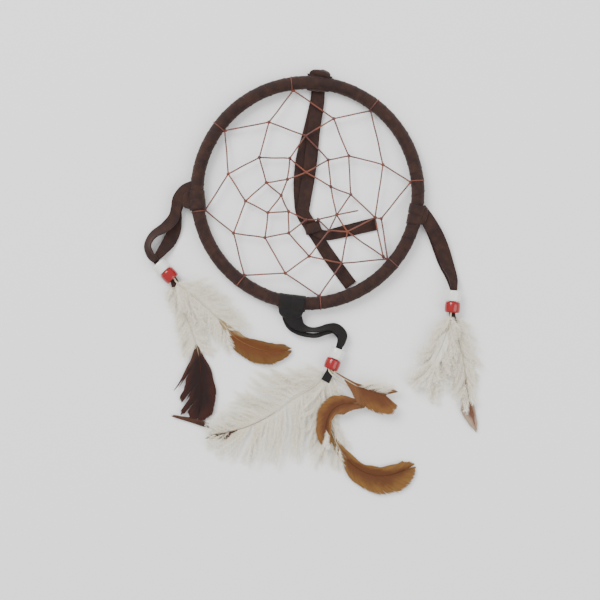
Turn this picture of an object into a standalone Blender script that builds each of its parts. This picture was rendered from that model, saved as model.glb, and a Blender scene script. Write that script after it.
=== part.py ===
"""Dream catcher laid flat: a wrapped hoop with a knotted web, a hanging lace and three feather pendants.

Plan positions are in millimetres from the centre of the hoop, heights are in millimetres above the
surface that the dream catcher lies on, and every object is built in metres with +Z up.
"""
import math

import bmesh
import bpy
from mathutils import Vector

MM = 0.001

# Driving dimensions, in millimetres
HOOP_CENTRE = Vector((-8.0, 49.4, 5.0))
HOOP_RADIUS = 63.5
CORE_WIRE_RADIUS = 2.0
WRAP_INNER_RADIUS = 2.3
WRAP_OUTER_RADIUS = 3.65
WEB_CORD_RADIUS = 0.45
WEB_LOOP_RADIUS = 4.4
WEB_KNOT_RADIUS = 0.95
LACE_WIDTH = 7.5
LACE_THICKNESS = 1.0
HITCH_INNER_RADIUS = 4.15
HITCH_OUTER_RADIUS = 5.0
BEAD_RADIUS = 4.45
BEAD_LENGTH = 6.3
BEAD_BORE_RADIUS = 2.25
BEAD_GAP = 0.3
QUILL_WIDTH = 0.7

HOOP_STEPS = 60
WRAP_SEAM_ANGLE = -98.0

# Knots of the web as (distance from the hoop's centre, angle in degrees)
ANCHOR_ANGLES = (98, 52.5, 6, -39.5, -83.5, -127.5, -170.6, 143)
WEB_KNOTS = {
    "P": (57, -40),
    "B1": (46.5, 118.5), "B2": (45.5, 70.5), "B3": (46.5, 20.5), "B4": (45, -19),
    "B5": (45, -64), "B6": (48, -105.5), "B7": (48.5, -151.5), "B8": (47, 166.5),
    "C1": (34.5, 143.5), "C2": (33, 92), "C3": (32, 42), "C4": (41.5, -20),
    "C5": (32, -44), "C6": (36.5, -88.5), "C7": (35.5, -133.5), "C8": (36, -172.5),
    "D1": (22.5, 117), "D2": (22.5, 58), "D3": (25, -2), "D5": (25, -60),
    "D6": (25.5, -115), "D7": (25.5, -153.5), "D8": (24.5, 166),
    "E1": (14, 146), "E2": (12, 94), "E3": (14, 15), "E4": (21, -37),
    "F": (16.5, -68), "E6": (15.5, -93), "E7": (15.3, -136), "E8": (15.2, -175),
    "TAIL": (31, -19),
}
WEB_STRANDS = (
    "A8 B1 A1 B2 A2 B3 A3 B4 A4 B5 A5 B6 A6 B7 A7 B8 A8",
    "B1 C2 B2 C3 B3 C4", "C4 C5 B5 C6 B6 C7 B7 C8 B8 C1 B1",
    "C1 D1 C2 D2 C3 D3 C4", "C5 D5 C6 D6 C7 D7 C8 D8 C1", "B4 C4",
    "D8 E1 D1 E2 D2 E3 D3 E4 D5", "E4 C5", "D5 F E6 D6 E7 D7 E8 D8",
    "E8 E1 E2 E3 E4 F", "E6 E7 E8", "C5 P A4", "E4 TAIL",
)

# Where each lace is hitched on the hoop: (angle in degrees, length along the hoop)
HANGER_HITCH = (84.0, 13.4)
LEFT_HITCH = (183.5, 10.2)
BOTTOM_HITCH = (-98.0, 15.0)
RIGHT_HITCH = (-11.2, 11.0)

# Pivots of the four swinging groups
LEFT_PIVOT = (-72.6, -6.6, 4.6)
RIGHT_PIVOT = (70.3, -16.9, 4.6)

# Hanging lace: two strands, a flat knot and two cut tails
HANGER_STRANDS = {
    "hanger_strand_left": (
        (6.1, 57.6, 1.3), (5.0, 52, 0.7), (1.2, 36, 0.6), (-2.8, 21, 0.6),
        (-4.3, 7, 0.6), (-4.0, -4, 0.6), (-3.4, -11.6, 0.9),
    ),
    "hanger_strand_right": (
        (6.5, 57.6, 2.7), (6.0, 52, 2.0), (3.6, 36, 1.85), (2.1, 20, 1.85),
        (0.3, 7, 1.85), (-1.6, -4, 1.85), (-2.9, -11.6, 2.2),
    ),
}
HANGER_TAILS = {
    "hanger_tail_upper": ((9.2, -24.7, 0.55), (15, -23.4, 0.55), (21.7, -21.9, 0.55), (40, -17.4, 0.55)),
    "hanger_tail_lower": ((5.4, -27.4, 0.55), (9.5, -32.8, 0.55), (14.8, -39.8, 0.55), (25.2, -53.2, 0.55)),
}
HANGER_KNOT = {"centre": (1.7, -19.6), "half_length": 7.2, "half_width": 3.6, "height": 3.4, "angle": -47.7}

# The two beads of each pendant: middle of the white bead, and the direction towards the feathers
BEADS = {
    "left": {"white": (-84.2, -42.65), "angle": -46.6},
    "bottom": {"white": (16.8, -92.6), "angle": -112.0},
    "right": {"white": (84.2, -59.3), "angle": -94.5},
}
LACE_STRANDS = {
    "left_lace_inner": (
        ((-73.6, -8.6, 3.9), 6.0), ((-75.4, -12.5, 2.6), 7.5), ((-76.9, -17.8, 1.4), 7.5),
        ((-81.6, -25.9, 0.75), 7.5), ((-85.2, -33.0, 1.5), 6.0), ((-87.7, -38.3, 3.6), 3.2),
    ),
    "left_lace_outer": (
        ((-74.0, -8.8, 5.4), 6.0), ((-78.0, -13.2, 4.6), 7.5), ((-82.9, -18.4, 3.3), 7.5),
        ((-90.2, -25.2, 1.5), 7.0), ((-92.0, -31.5, 2.2), 6.5), ((-90.2, -36.0, 4.6), 4.5),
        ((-87.9, -38.3, 5.2), 3.2),
    ),
    "bottom_lace_front": (
        ((-10.1, -72.7, 5.9), 5.5), ((-8.0, -77.4, 4.0), 5.5), ((-5.0, -79.8, 2.8), 5.5),
        ((-0.8, -81.2, 2.3), 5.5), ((6.1, -80.9, 2.2), 5.5), ((14.0, -79.4, 2.3), 5.5),
        ((18.6, -80.6, 2.9), 5.0), ((20.6, -84.0, 4.0), 4.5), ((18.7, -88.2, 5.1), 3.2),
    ),
    "bottom_lace_back": (
        ((-10.1, -72.7, 4.4), 5.5), ((-9.0, -78.2, 2.0), 5.5), ((-5.8, -81.4, 0.9), 5.5),
        ((-0.8, -83.0, 0.65), 5.5), ((6.1, -82.9, 0.65), 5.5), ((14.2, -81.0, 0.65), 5.5),
        ((18.6, -82.0, 1.3), 5.0), ((20.0, -84.6, 2.5), 4.5), ((18.7, -88.2, 3.8), 3.2),
    ),
    "right_lace_front": (
        ((71.1, -18.9, 5.4), 7.0), ((75.1, -25.6, 3.6), 8.0), ((78.4, -33.5, 2.2), 7.8),
        ((80.8, -40.9, 2.0), 7.2), ((83.4, -48.4, 3.2), 5.5), ((84.4, -54.7, 5.1), 3.2),
    ),
    "right_lace_back": (
        ((70.9, -18.9, 3.9), 7.0), ((74.6, -25.6, 2.0), 8.0), ((77.6, -33.5, 0.75), 7.8),
        ((80.2, -40.9, 0.75), 7.2), ((83.0, -48.4, 1.8), 5.5), ((84.4, -54.7, 3.8), 3.2),
    ),
}
# Short lace end that sticks out of the red bead: points after the bead's mouth
LACE_ENDS = {
    "left": ((-76.8, -50.8, 4.35), (-76.2, -53.6, 4.1)),
    "bottom": ((12.4, -104.2, 4.25), (10.4, -108.4, 4.0)),
    "right": ((83.7, -71.4, 4.35), (85.0, -74.6, 4.1)),
}

# Feathers: the pendant, the quill's side and level in the bead's bore, and the shaft as (point, width)
FEATHERS = {
    "left_feather_dark": ("left", -1, -1, (
        ((-77.4, -52.4, 2.9), 0.7), ((-73.4, -64.0, 1.2), 13.0), ((-66.6, -81.0, 1.0), 15.0),
        ((-63.0, -93.4, 1.0), 14.0), ((-62.5, -110.0, 1.0), 16.0), ((-66.4, -127.0, 1.0), 3.0))),
    "left_feather_tan": ("left", 1, 1, (
        ((-74.4, -52.4, 5.6), 0.7), ((-62.0, -62.5, 3.2), 20.0), ((-47.5, -76.1, 2.4), 22.0),
        ((-35.0, -87.0, 2.0), 12.0), ((-21.6, -91.2, 2.0), 13.0), ((-8.8, -89.4, 2.0), 3.0))),
    "bottom_feather_plume": ("bottom", -1, -1, (
        ((10.8, -104.6, 2.9), 0.7), ((3.0, -112.0, 1.4), 11.0), ((-8.0, -118.6, 1.2), 24.0),
        ((-22.0, -127.0, 1.2), 36.0), ((-38.0, -134.5, 1.2), 30.0), ((-52.0, -138.5, 1.1), 18.0),
        ((-65.0, -139.0, 1.0), 3.0))),
    "bottom_feather_curl": ("bottom", 1, -1, (
        ((13.6, -106.0, 2.7), 0.7), ((14.6, -118.0, 1.2), 11.0), ((15.8, -133.0, 1.1), 17.0),
        ((19.4, -147.0, 1.1), 17.0), ((31.0, -158.6, 1.1), 15.0), ((47.0, -163.0, 1.1), 14.0),
        ((60.5, -157.4, 1.0), 3.0))),
    "bottom_feather_short": ("bottom", -1, 1, (
        ((13.4, -104.0, 5.9), 0.7), ((17.2, -109.6, 4.4), 6.0), ((17.6, -118.2, 3.1), 9.0),
        ((12.2, -127.0, 3.0), 10.0), ((8.6, -139.6, 3.0), 3.0))),
    "bottom_feather_tan": ("bottom", 1, 1, (
        ((16.0, -104.9, 5.9), 0.7), ((24.6, -108.4, 5.3), 8.0), ((33.2, -112.8, 4.7), 11.0),
        ((40.6, -116.4, 4.4), 9.0), ((47.6, -118.4, 4.2), 3.0))),
    "right_feather_inner": ("right", -1, -1, (
        ((82.2, -73.6, 2.8), 0.7), ((79.0, -88.0, 1.2), 10.0), ((76.4, -101.0, 1.1), 12.0),
        ((73.6, -113.4, 1.0), 3.0))),
    "right_feather_long": ("right", 1, -1, (
        ((85.4, -74.0, 2.8), 0.7), ((91.4, -92.0, 1.2), 11.0), ((95.8, -107.0, 1.2), 14.0),
        ((98.4, -122.0, 1.2), 13.0), ((98.6, -141.0, 1.0), 3.0))),
    "right_feather_soft": ("right", -1, 1, (
        ((81.4, -76.0, 5.2), 0.7), ((76.0, -90.5, 3.4), 10.0), ((67.4, -102.6, 3.0), 12.0),
        ((58.0, -107.0, 3.0), 9.0), ((50.5, -108.4, 3.0), 3.0))),
}


def metres(point):
    """A point given in hoop millimetres, as a vector in metres in the part's frame."""
    x, y, z = point
    return Vector((HOOP_CENTRE.x + x, HOOP_CENTRE.y + y, z)) * MM


def polar(radius, degrees, height=None):
    """A point in hoop millimetres at a radius and an angle, in the hoop's own plane unless a height is given."""
    angle = math.radians(degrees)
    z = HOOP_CENTRE.z if height is None else height
    return Vector((radius * math.cos(angle), radius * math.sin(angle), z))


def material(name, color, roughness, metallic=0.0):
    """A Principled material of one plain colour."""
    made = bpy.data.materials.new(name)
    made.use_nodes = True
    shader = made.node_tree.nodes["Principled BSDF"]
    shader.inputs["Base Color"].default_value = (*color, 1.0)
    shader.inputs["Roughness"].default_value = roughness
    shader.inputs["Metallic"].default_value = metallic
    return made


def add_object(name, shape, finish, origin=(0, 0, 0), sharp_degrees=40.0):
    """Turns a bmesh in metres into a named object whose origin lies at the given point."""
    mesh = bpy.data.meshes.new(name)
    place = Vector(origin)
    bmesh.ops.translate(shape, verts=shape.verts, vec=-place)
    bmesh.ops.recalc_face_normals(shape, faces=shape.faces)
    shape.to_mesh(mesh)
    shape.free()
    mesh.shade_smooth()
    mesh.set_sharp_from_angle(angle=math.radians(sharp_degrees))
    mesh.materials.append(finish)
    made = bpy.data.objects.new(name, mesh)
    made.location = place
    bpy.context.scene.collection.objects.link(made)
    return made


def bridge_rings(shape, rings, closed=False):
    """Joins successive rings of vertices with quads, and closes the ends unless the rings form a loop."""
    pairs = list(zip(rings, rings[1:]))
    if closed:
        pairs.append((rings[-1], rings[0]))
    for near, far in pairs:
        for i in range(len(near)):
            j = (i + 1) % len(near)
            shape.faces.new((near[i], near[j], far[j], far[i]))
    if not closed:
        shape.faces.new(rings[0])
        shape.faces.new(list(reversed(rings[-1])))


def smooth_path(stations, step):
    """Reads a smooth curve through stations of several numbers each, at about one point per step of length."""
    rows = [Vector(row) for row in stations]
    first = rows[0] * 2 - rows[1]
    last = rows[-1] * 2 - rows[-2]
    rows = [first] + rows + [last]
    path = []
    for before, start, end, after in zip(rows, rows[1:], rows[2:], rows[3:]):
        count = max(1, round((end - start).length / step))
        for i in range(count):
            t = i / count
            path.append(0.5 * (
                2 * start + (end - before) * t
                + (2 * before - 5 * start + 4 * end - after) * t ** 2
                + (3 * start - before - 3 * end + after) * t ** 3))
    path.append(rows[-2])
    return path


def sweep(points, sections):
    """A closed solid with one section per point, each a list of (sideways, upwards) offsets in millimetres."""
    shape = bmesh.new()
    rings = []
    for i, (point, section) in enumerate(zip(points, sections)):
        ahead = points[min(i + 1, len(points) - 1)] - points[max(i - 1, 0)]
        side = ahead.cross(Vector((0, 0, 1))).normalized()
        upward = side.cross(ahead).normalized()
        rings.append([
            shape.verts.new(metres(point + side * across + upward * up))
            for across, up in section])
    bridge_rings(shape, rings)
    return shape


def lace(name, route, finish, thickness=LACE_THICKNESS, step=4.0, origin=(0, 0, 0)):
    """A flat lace along a route of (point, width), with square cut ends."""
    stations = smooth_path([(*point, width) for point, width in route], step)
    points = [Vector(row[:3]) for row in stations]
    half = thickness / 2
    sections = []
    for row in stations:
        edge = row[3] / 2
        sections.append([(-edge, -half), (edge, -half), (edge, half), (-edge, half)])
    return add_object(name, sweep(points, sections), finish, origin)


def add_ring_core(finish):
    """The round wire ring inside the wrapping."""
    shape = bmesh.new()
    rings = []
    for step in range(HOOP_STEPS):
        around = WRAP_SEAM_ANGLE + 360.0 * step / HOOP_STEPS
        ring = []
        for k in range(6):
            turn = 2 * math.pi * k / 6
            point = polar(HOOP_RADIUS + CORE_WIRE_RADIUS * math.cos(turn), around)
            point.z += CORE_WIRE_RADIUS * math.sin(turn)
            ring.append(shape.verts.new(metres(point)))
        rings.append(ring)
    bridge_rings(shape, rings, closed=True)
    add_object("ring_core", shape, finish)


def add_hoop_wrap(finish):
    """The lace wound round the ring: a tube with its two ends a hair apart under the bottom hitch."""
    shape = bmesh.new()
    sides = 10
    gap_degrees = 0.5
    loops = []
    for step in range(HOOP_STEPS + 1):
        share = step / HOOP_STEPS
        around = WRAP_SEAM_ANGLE + gap_degrees / 2 + (360.0 - gap_degrees) * share
        section = []
        for radius, order in ((WRAP_OUTER_RADIUS, 1), (WRAP_INNER_RADIUS, -1)):
            ring = []
            for k in range(sides):
                turn = order * 2 * math.pi * (k + 0.5) / sides
                point = polar(HOOP_RADIUS + radius * math.cos(turn), around)
                point.z += radius * math.sin(turn)
                ring.append(shape.verts.new(metres(point)))
            section.append(ring)
        loops.append(section)
    for near, far in zip(loops, loops[1:]):
        for layer in (0, 1):
            for i in range(sides):
                j = (i + 1) % sides
                shape.faces.new((near[layer][i], near[layer][j], far[layer][j], far[layer][i]))
    for outer, inner in (loops[0], loops[-1]):
        matched = [inner[0]] + inner[:0:-1]
        matched = matched[-1:] + matched[:-1]
        for i in range(sides):
            j = (i + 1) % sides
            shape.faces.new((outer[i], outer[j], matched[j], matched[i]))
    add_object("hoop_wrap", shape, finish)


def add_tube(shape, points, radius, sides=4, closed=False):
    """Adds a round tube through a few points to a shape."""
    rings = []
    count = len(points)
    for i, point in enumerate(points):
        before = points[i - 1] if closed or i else point
        after = points[(i + 1) % count] if closed or i < count - 1 else point
        ahead = (after - before).normalized()
        reference = Vector((0, 0, 1)) if abs(ahead.z) < 0.9 else polar(1, 0, 0)
        side = ahead.cross(reference).normalized()
        upward = side.cross(ahead)
        ring = []
        for k in range(sides):
            turn = 2 * math.pi * (k + 0.5) / sides
            offset = side * math.cos(turn) + upward * math.sin(turn)
            ring.append(shape.verts.new(metres(point + offset * radius)))
        rings.append(ring)
    bridge_rings(shape, rings, closed=closed)


def add_web_loop(shape, degrees):
    """Adds the cord's turn round the wrapped hoop, square to the hoop, at one anchor."""
    steps = 12
    angle = math.radians(degrees)
    radial = Vector((math.cos(angle), math.sin(angle), 0))
    along = Vector((-math.sin(angle), math.cos(angle), 0))
    rings = []
    for step in range(steps):
        turn = 2 * math.pi * step / steps
        outward = radial * math.cos(turn) + Vector((0, 0, 1)) * math.sin(turn)
        ring = []
        for k in range(6):
            spin = 2 * math.pi * k / 6
            offset = outward * math.cos(spin) + along * math.sin(spin)
            centre = polar(HOOP_RADIUS, degrees) + outward * WEB_LOOP_RADIUS
            ring.append(shape.verts.new(metres(centre + offset * WEB_CORD_RADIUS)))
        rings.append(ring)
    bridge_rings(shape, rings, closed=True)


def add_web(finish):
    """The web: one cord, knotted where it meets itself and taken round the hoop at eight anchors."""
    knots = {name: polar(*place) for name, place in WEB_KNOTS.items()}
    inner_edge = HOOP_RADIUS - WEB_LOOP_RADIUS
    for number, degrees in enumerate(ANCHOR_ANGLES, start=1):
        knots[f"A{number}"] = polar(inner_edge, degrees)
    strands = bmesh.new()
    for chain in WEB_STRANDS:
        names = chain.split()
        for start, end in zip(names, names[1:]):
            add_tube(strands, [knots[start], knots[end]], WEB_CORD_RADIUS)
    for degrees in ANCHOR_ANGLES:
        add_web_loop(strands, degrees)
    bodies = bmesh.new()
    for name, place in knots.items():
        if name != "TAIL":
            made = bmesh.ops.create_icosphere(bodies, subdivisions=1, radius=WEB_KNOT_RADIUS * MM)
            bmesh.ops.translate(bodies, verts=made["verts"], vec=metres(place))
    net = add_object("web_net", strands, finish)
    knot_guide = add_object("web_knots_guide", bodies, finish)
    knot_guide.hide_render = True
    knot_guide.display_type = "WIRE"
    join = net.modifiers.new("join_knots", "BOOLEAN")
    join.operation = "UNION"
    join.use_self = True
    join.object = knot_guide


def add_hitch(name, place, bar_height, finish, nose=None, origin=(0, 0, 0)):
    """A lace hitched on the hoop: a sleeve of lace round the tube, with a bar or a nose on its outer side."""
    degrees, length = place
    sides = 16
    angle = math.radians(degrees)
    radial = Vector((math.cos(angle), math.sin(angle), 0))
    along = Vector((-math.sin(angle), math.cos(angle), 0))
    centre = polar(HOOP_RADIUS, degrees)
    flat_to_corner = 1 / math.cos(math.pi / sides)
    shape = bmesh.new()
    profile = []
    offsets = [-length / 2, -length / 2 + 1.2, -length / 6, length / 6, length / 2 - 1.2, length / 2]
    for offset in offsets:
        trim = 0.35 if abs(offset) == length / 2 else 0.0
        profile.append((offset, (HITCH_OUTER_RADIUS - trim) * flat_to_corner))
    for offset in (length / 2, -length / 2):
        profile.append((offset, HITCH_INNER_RADIUS * flat_to_corner))
    rings = []
    for k in range(sides):
        turn = 2 * math.pi * (k + 0.5) / sides
        outward = radial * math.cos(turn) + Vector((0, 0, 1)) * math.sin(turn)
        rings.append([
            shape.verts.new(metres(centre + along * offset + outward * radius))
            for offset, radius in profile])
    bridge_rings(shape, rings, closed=True)
    bmesh.ops.recalc_face_normals(shape, faces=shape.faces)
    outer = []
    for face in shape.faces:
        middle = face.calc_center_median() - metres(centre)
        facing = middle.normalized().dot(radial)
        limit = length / 2 * MM if nose is None else length / 5 * MM
        if facing > 0.8 and abs(middle.dot(along)) < limit and face.normal.dot(radial) > 0.5:
            outer.append(face)
    raised = bmesh.ops.extrude_face_region(shape, geom=outer)
    moved = [item for item in raised["geom"] if isinstance(item, bmesh.types.BMVert)]
    if nose is None:
        bmesh.ops.translate(shape, verts=moved, vec=radial * bar_height * MM)
    else:
        target = metres(nose)
        middle = sum((vertex.co for vertex in moved), Vector()) / len(moved)
        for vertex in moved:
            spread = (vertex.co - middle) * 0.7
            spread.z *= 0.55
            vertex.co = target + spread
    bmesh.ops.delete(shape, geom=outer, context="FACES")
    return add_object(name, shape, finish, origin)


def add_hanger_knot(finish, origin):
    """The flat knot that closes the hanging loop."""
    shape = bmesh.new()
    bmesh.ops.create_icosphere(shape, subdivisions=2, radius=1.0)
    angle = math.radians(HANGER_KNOT["angle"])
    along = Vector((math.cos(angle), math.sin(angle), 0))
    across = Vector((-math.sin(angle), math.cos(angle), 0))
    x, y = HANGER_KNOT["centre"]
    half_height = HANGER_KNOT["height"] / 2
    for vertex in shape.verts:
        point = vertex.co.copy()
        height = max(0.0, half_height * (1 + 1.15 * point.z) / 1.15)
        plan = along * point.x * HANGER_KNOT["half_length"] + across * point.y * HANGER_KNOT["half_width"]
        vertex.co = metres((x + plan.x, y + plan.y, height))
    add_object("hanger_knot", shape, finish, origin)


def bead_frame(pendant):
    """The white bead's middle, the direction towards the feathers and the direction across, for one pendant."""
    x, y = BEADS[pendant]["white"]
    angle = math.radians(BEADS[pendant]["angle"])
    toward = Vector((math.cos(angle), math.sin(angle), 0))
    across = Vector((math.sin(angle), -math.cos(angle), 0)) * -1
    return Vector((x, y, BEAD_RADIUS)), toward, across


def add_bead(name, pendant, order, finish, origin):
    """A barrel bead with a straight bore, turned about the lace; order 0 is the white bead, 1 the red one."""
    white, toward, across = bead_frame(pendant)
    centre = white + toward * order * (BEAD_LENGTH + BEAD_GAP)
    half = BEAD_LENGTH / 2
    profile = (
        (-half, BEAD_BORE_RADIUS), (-half, 3.2), (-half + 0.7, 3.95), (-1.1, BEAD_RADIUS),
        (1.1, BEAD_RADIUS), (half - 0.7, 3.95), (half, 3.2), (half, BEAD_BORE_RADIUS),
    )
    sides = 18
    shape = bmesh.new()
    rings = []
    for k in range(sides):
        turn = 2 * math.pi * k / sides
        outward = across * math.cos(turn) + Vector((0, 0, 1)) * math.sin(turn)
        rings.append([shape.verts.new(metres(centre + toward * x + outward * r)) for x, r in profile])
    bridge_rings(shape, rings, closed=True)
    add_object(name, shape, finish, origin, sharp_degrees=60.0)


def add_lace_end(pendant, finish, origin):
    """The bunched lace inside the two beads, and the short cut end below them."""
    white, toward, _ = bead_frame(pendant)
    start = white - toward * (BEAD_LENGTH / 2 + 0.3)
    mouth = white + toward * (BEAD_LENGTH * 1.5 + BEAD_GAP)
    bend, end = LACE_ENDS[pendant]
    route = [(start, 3.0), (white, 3.0), (mouth, 3.0), (Vector(bend), 3.4), (Vector(end), 4.0)]
    lace(f"{pendant}_lace_end", route, finish, thickness=1.3, origin=origin)


def add_feather(name, finish, origin):
    """One feather: a thin quill that leaves the bead's bore, and a flat vane on each side of its shaft."""
    pendant, side, level, route = FEATHERS[name]
    white, toward, across = bead_frame(pendant)
    mouth = white + toward * (BEAD_LENGTH * 1.5 + BEAD_GAP)
    start = mouth - toward * 1.2 + across * side * 0.8 + Vector((0, 0, level * 1.35))
    outlet = mouth + toward * 0.6 + across * side * 0.8 + Vector((0, 0, level * 1.35))
    stations = [(*start, QUILL_WIDTH), (*outlet, QUILL_WIDTH)]
    stations += [(*point, width) for point, width in route]
    rows = smooth_path(stations, 7.0)
    sections = []
    for row in rows:
        edge = max(QUILL_WIDTH, row[3]) / 2
        rise = min(0.8, QUILL_WIDTH / 2 + edge * 0.08)
        sections.append([
            (-edge, -0.3), (0, -rise), (edge, -0.3), (edge, 0.3), (0, rise), (-edge, 0.3)])
    shape = sweep([Vector(row[:3]) for row in rows], sections)
    add_object(name, shape, finish, origin)


def main():
    for old in list(bpy.data.objects):
        bpy.data.objects.remove(old, do_unlink=True)

    steel = material("ring_steel", (0.45, 0.44, 0.42), 0.35, metallic=1.0)
    wrap_leather = material("wrap_suede", (0.062, 0.033, 0.027), 0.85)
    lace_leather = material("lace_suede", (0.045, 0.026, 0.022), 0.85)
    web_cord = material("web_cord", (0.28, 0.07, 0.035), 0.7)
    white_plastic = material("white_bead", (0.78, 0.79, 0.76), 0.15)
    red_plastic = material("red_bead", (0.62, 0.02, 0.025), 0.15)
    vane = material("feather_vane", (0.62, 0.5, 0.36), 0.8)

    hanger_pivot = metres(polar(HOOP_RADIUS, HANGER_HITCH[0]))
    bottom_pivot = metres(polar(HOOP_RADIUS, BOTTOM_HITCH[0]))
    pivots = {"left": metres(LEFT_PIVOT), "bottom": bottom_pivot, "right": metres(RIGHT_PIVOT)}

    add_ring_core(steel)
    add_hoop_wrap(wrap_leather)
    add_web(web_cord)

    add_hitch("hanger_hitch", HANGER_HITCH, 2.9, lace_leather, origin=hanger_pivot)
    for name, route in HANGER_STRANDS.items():
        lace(name, [(point, LACE_WIDTH) for point in route], lace_leather, step=7.0, origin=hanger_pivot)
    add_hanger_knot(lace_leather, hanger_pivot)
    for name, route in HANGER_TAILS.items():
        widths = (3.6, 6.5, LACE_WIDTH, LACE_WIDTH)
        lace(name, list(zip(route, widths)), lace_leather, step=6.0, origin=hanger_pivot)

    add_hitch("left_hitch", LEFT_HITCH, 0.0, lace_leather, nose=(-71.4, -5.6, 4.7))
    add_hitch("right_hitch", RIGHT_HITCH, 0.0, lace_leather, nose=(69.4, -15.2, 4.7))
    add_hitch("bottom_hitch", BOTTOM_HITCH, 2.9, lace_leather, origin=bottom_pivot)

    for name, route in LACE_STRANDS.items():
        lace(name, route, lace_leather, origin=pivots[name.split("_")[0]])
    for pendant, pivot in pivots.items():
        add_bead(f"{pendant}_white_bead", pendant, 0, white_plastic, pivot)
        add_bead(f"{pendant}_red_bead", pendant, 1, red_plastic, pivot)
        add_lace_end(pendant, lace_leather, pivot)
    for name, (pendant, *_) in FEATHERS.items():
        add_feather(name, vane, pivots[pendant])


main()
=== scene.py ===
import math
import random

import bpy
from mathutils import Matrix, Vector, noise


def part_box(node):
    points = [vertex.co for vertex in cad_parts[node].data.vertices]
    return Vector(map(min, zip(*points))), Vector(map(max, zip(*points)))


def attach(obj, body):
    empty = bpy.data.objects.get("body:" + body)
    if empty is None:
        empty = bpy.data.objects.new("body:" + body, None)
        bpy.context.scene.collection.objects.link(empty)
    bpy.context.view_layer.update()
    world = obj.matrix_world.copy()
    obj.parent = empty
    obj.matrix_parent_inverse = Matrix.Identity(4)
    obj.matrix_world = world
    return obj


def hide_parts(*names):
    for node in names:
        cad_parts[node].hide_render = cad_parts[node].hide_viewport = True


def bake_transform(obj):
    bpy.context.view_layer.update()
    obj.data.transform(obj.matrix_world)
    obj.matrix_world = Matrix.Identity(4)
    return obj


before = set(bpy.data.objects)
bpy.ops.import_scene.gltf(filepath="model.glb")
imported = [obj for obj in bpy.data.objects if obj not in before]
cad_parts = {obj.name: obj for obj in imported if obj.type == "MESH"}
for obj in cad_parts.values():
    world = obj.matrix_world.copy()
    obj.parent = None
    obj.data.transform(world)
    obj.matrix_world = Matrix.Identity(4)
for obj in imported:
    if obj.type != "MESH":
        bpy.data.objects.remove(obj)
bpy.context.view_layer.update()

# Dream catcher lying flat: a lace-wrapped ring, a knotted web, a hanging lace and three feather pendants.
# Plan positions are in millimetres from the ring's centre and heights in millimetres above the surface
# that the dream catcher lies on. Meshes are in metres.

bl_info = {
    "name": "Dream Catcher",
    "version": (1, 0, 0),
    "blender": (4, 5, 0),
    "location": "View3D > Sidebar > Dream Catcher",
    "description": "Builds a dream catcher: wrapped ring, knotted web, hanging lace and feather pendants",
    "category": "Add Mesh",
}

MM = 0.001
RING_LOW, RING_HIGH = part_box("ring_core")
RING_CENTRE = Vector([(low + high) / 2 for low, high in zip(RING_LOW, RING_HIGH)])
RING_HEIGHT = RING_CENTRE.z / MM
CORE_WIRE_RADIUS = (RING_HIGH[2] - RING_LOW[2]) / 2 / MM
RING_RADIUS = (RING_HIGH[0] - RING_LOW[0]) / 2 / MM - CORE_WIRE_RADIUS
FLOOR_GAP = 0.12

# The web: turns round the ring, knots as (distance from the centre, angle), and the threads between them
ANCHOR_ANGLES = (98, 52.5, 6, -39.5, -83.5, -127.5, -170.6, 143)
WEB_KNOTS = {
    "P": (57, -40),
    "B1": (46.5, 118.5), "B2": (45.5, 70.5), "B3": (46.5, 20.5), "B4": (45, -19),
    "B5": (45, -64), "B6": (48, -105.5), "B7": (48.5, -151.5), "B8": (47, 166.5),
    "C1": (34.5, 143.5), "C2": (33, 92), "C3": (32, 42), "C4": (41.5, -20),
    "C5": (32, -44), "C6": (36.5, -88.5), "C7": (35.5, -133.5), "C8": (36, -172.5),
    "D1": (22.5, 117), "D2": (22.5, 58), "D3": (25, -2), "D5": (25, -60),
    "D6": (25.5, -115), "D7": (25.5, -153.5), "D8": (24.5, 166),
    "E1": (14, 146), "E2": (12, 94), "E3": (14, 15), "E4": (21, -37),
    "F": (16.5, -68), "E6": (15.5, -93), "E7": (15.3, -136), "E8": (15.2, -175),
    "TAIL": (31, -19),
}
WEB_THREADS = (
    "A8 B1 A1 B2 A2 B3 A3 B4 A4 B5 A5 B6 A6 B7 A7 B8 A8",
    "B1 C2 B2 C3 B3 C4", "C4 C5 B5 C6 B6 C7 B7 C8 B8 C1 B1",
    "C1 D1 C2 D2 C3 D3 C4", "C5 D5 C6 D6 C7 D7 C8 D8 C1", "B4 C4",
    "D8 E1 D1 E2 D2 E3 D3 E4 D5", "E4 C5", "D5 F E6 D6 E7 D7 E8 D8",
    "E8 E1 E2 E3 E4 F", "E6 E7 E8", "C5 P A4", "C4 P", "E4 TAIL",
)

# Hitches on the ring: angle, length along the ring, how far the bight stands out, and the body it rides on
HITCHES = {
    "hanger_hitch": (84.0, 13.4, 8.2, "hanger"),
    "left_hitch": (183.5, 10.6, 9.0, "hoop"),
    "bottom_hitch": (-98.0, 15.0, 9.6, "bottom_pendant"),
    "right_hitch": (-11.2, 11.0, 7.4, "hoop"),
}

# Beads of each pendant: middle of the white bead, and the direction towards the feathers
BEADS = {
    "left": ((-84.2, -42.65), -46.6),
    "bottom": ((16.8, -92.6), -112.0),
    "right": ((84.2, -59.3), -94.5),
}

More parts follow.
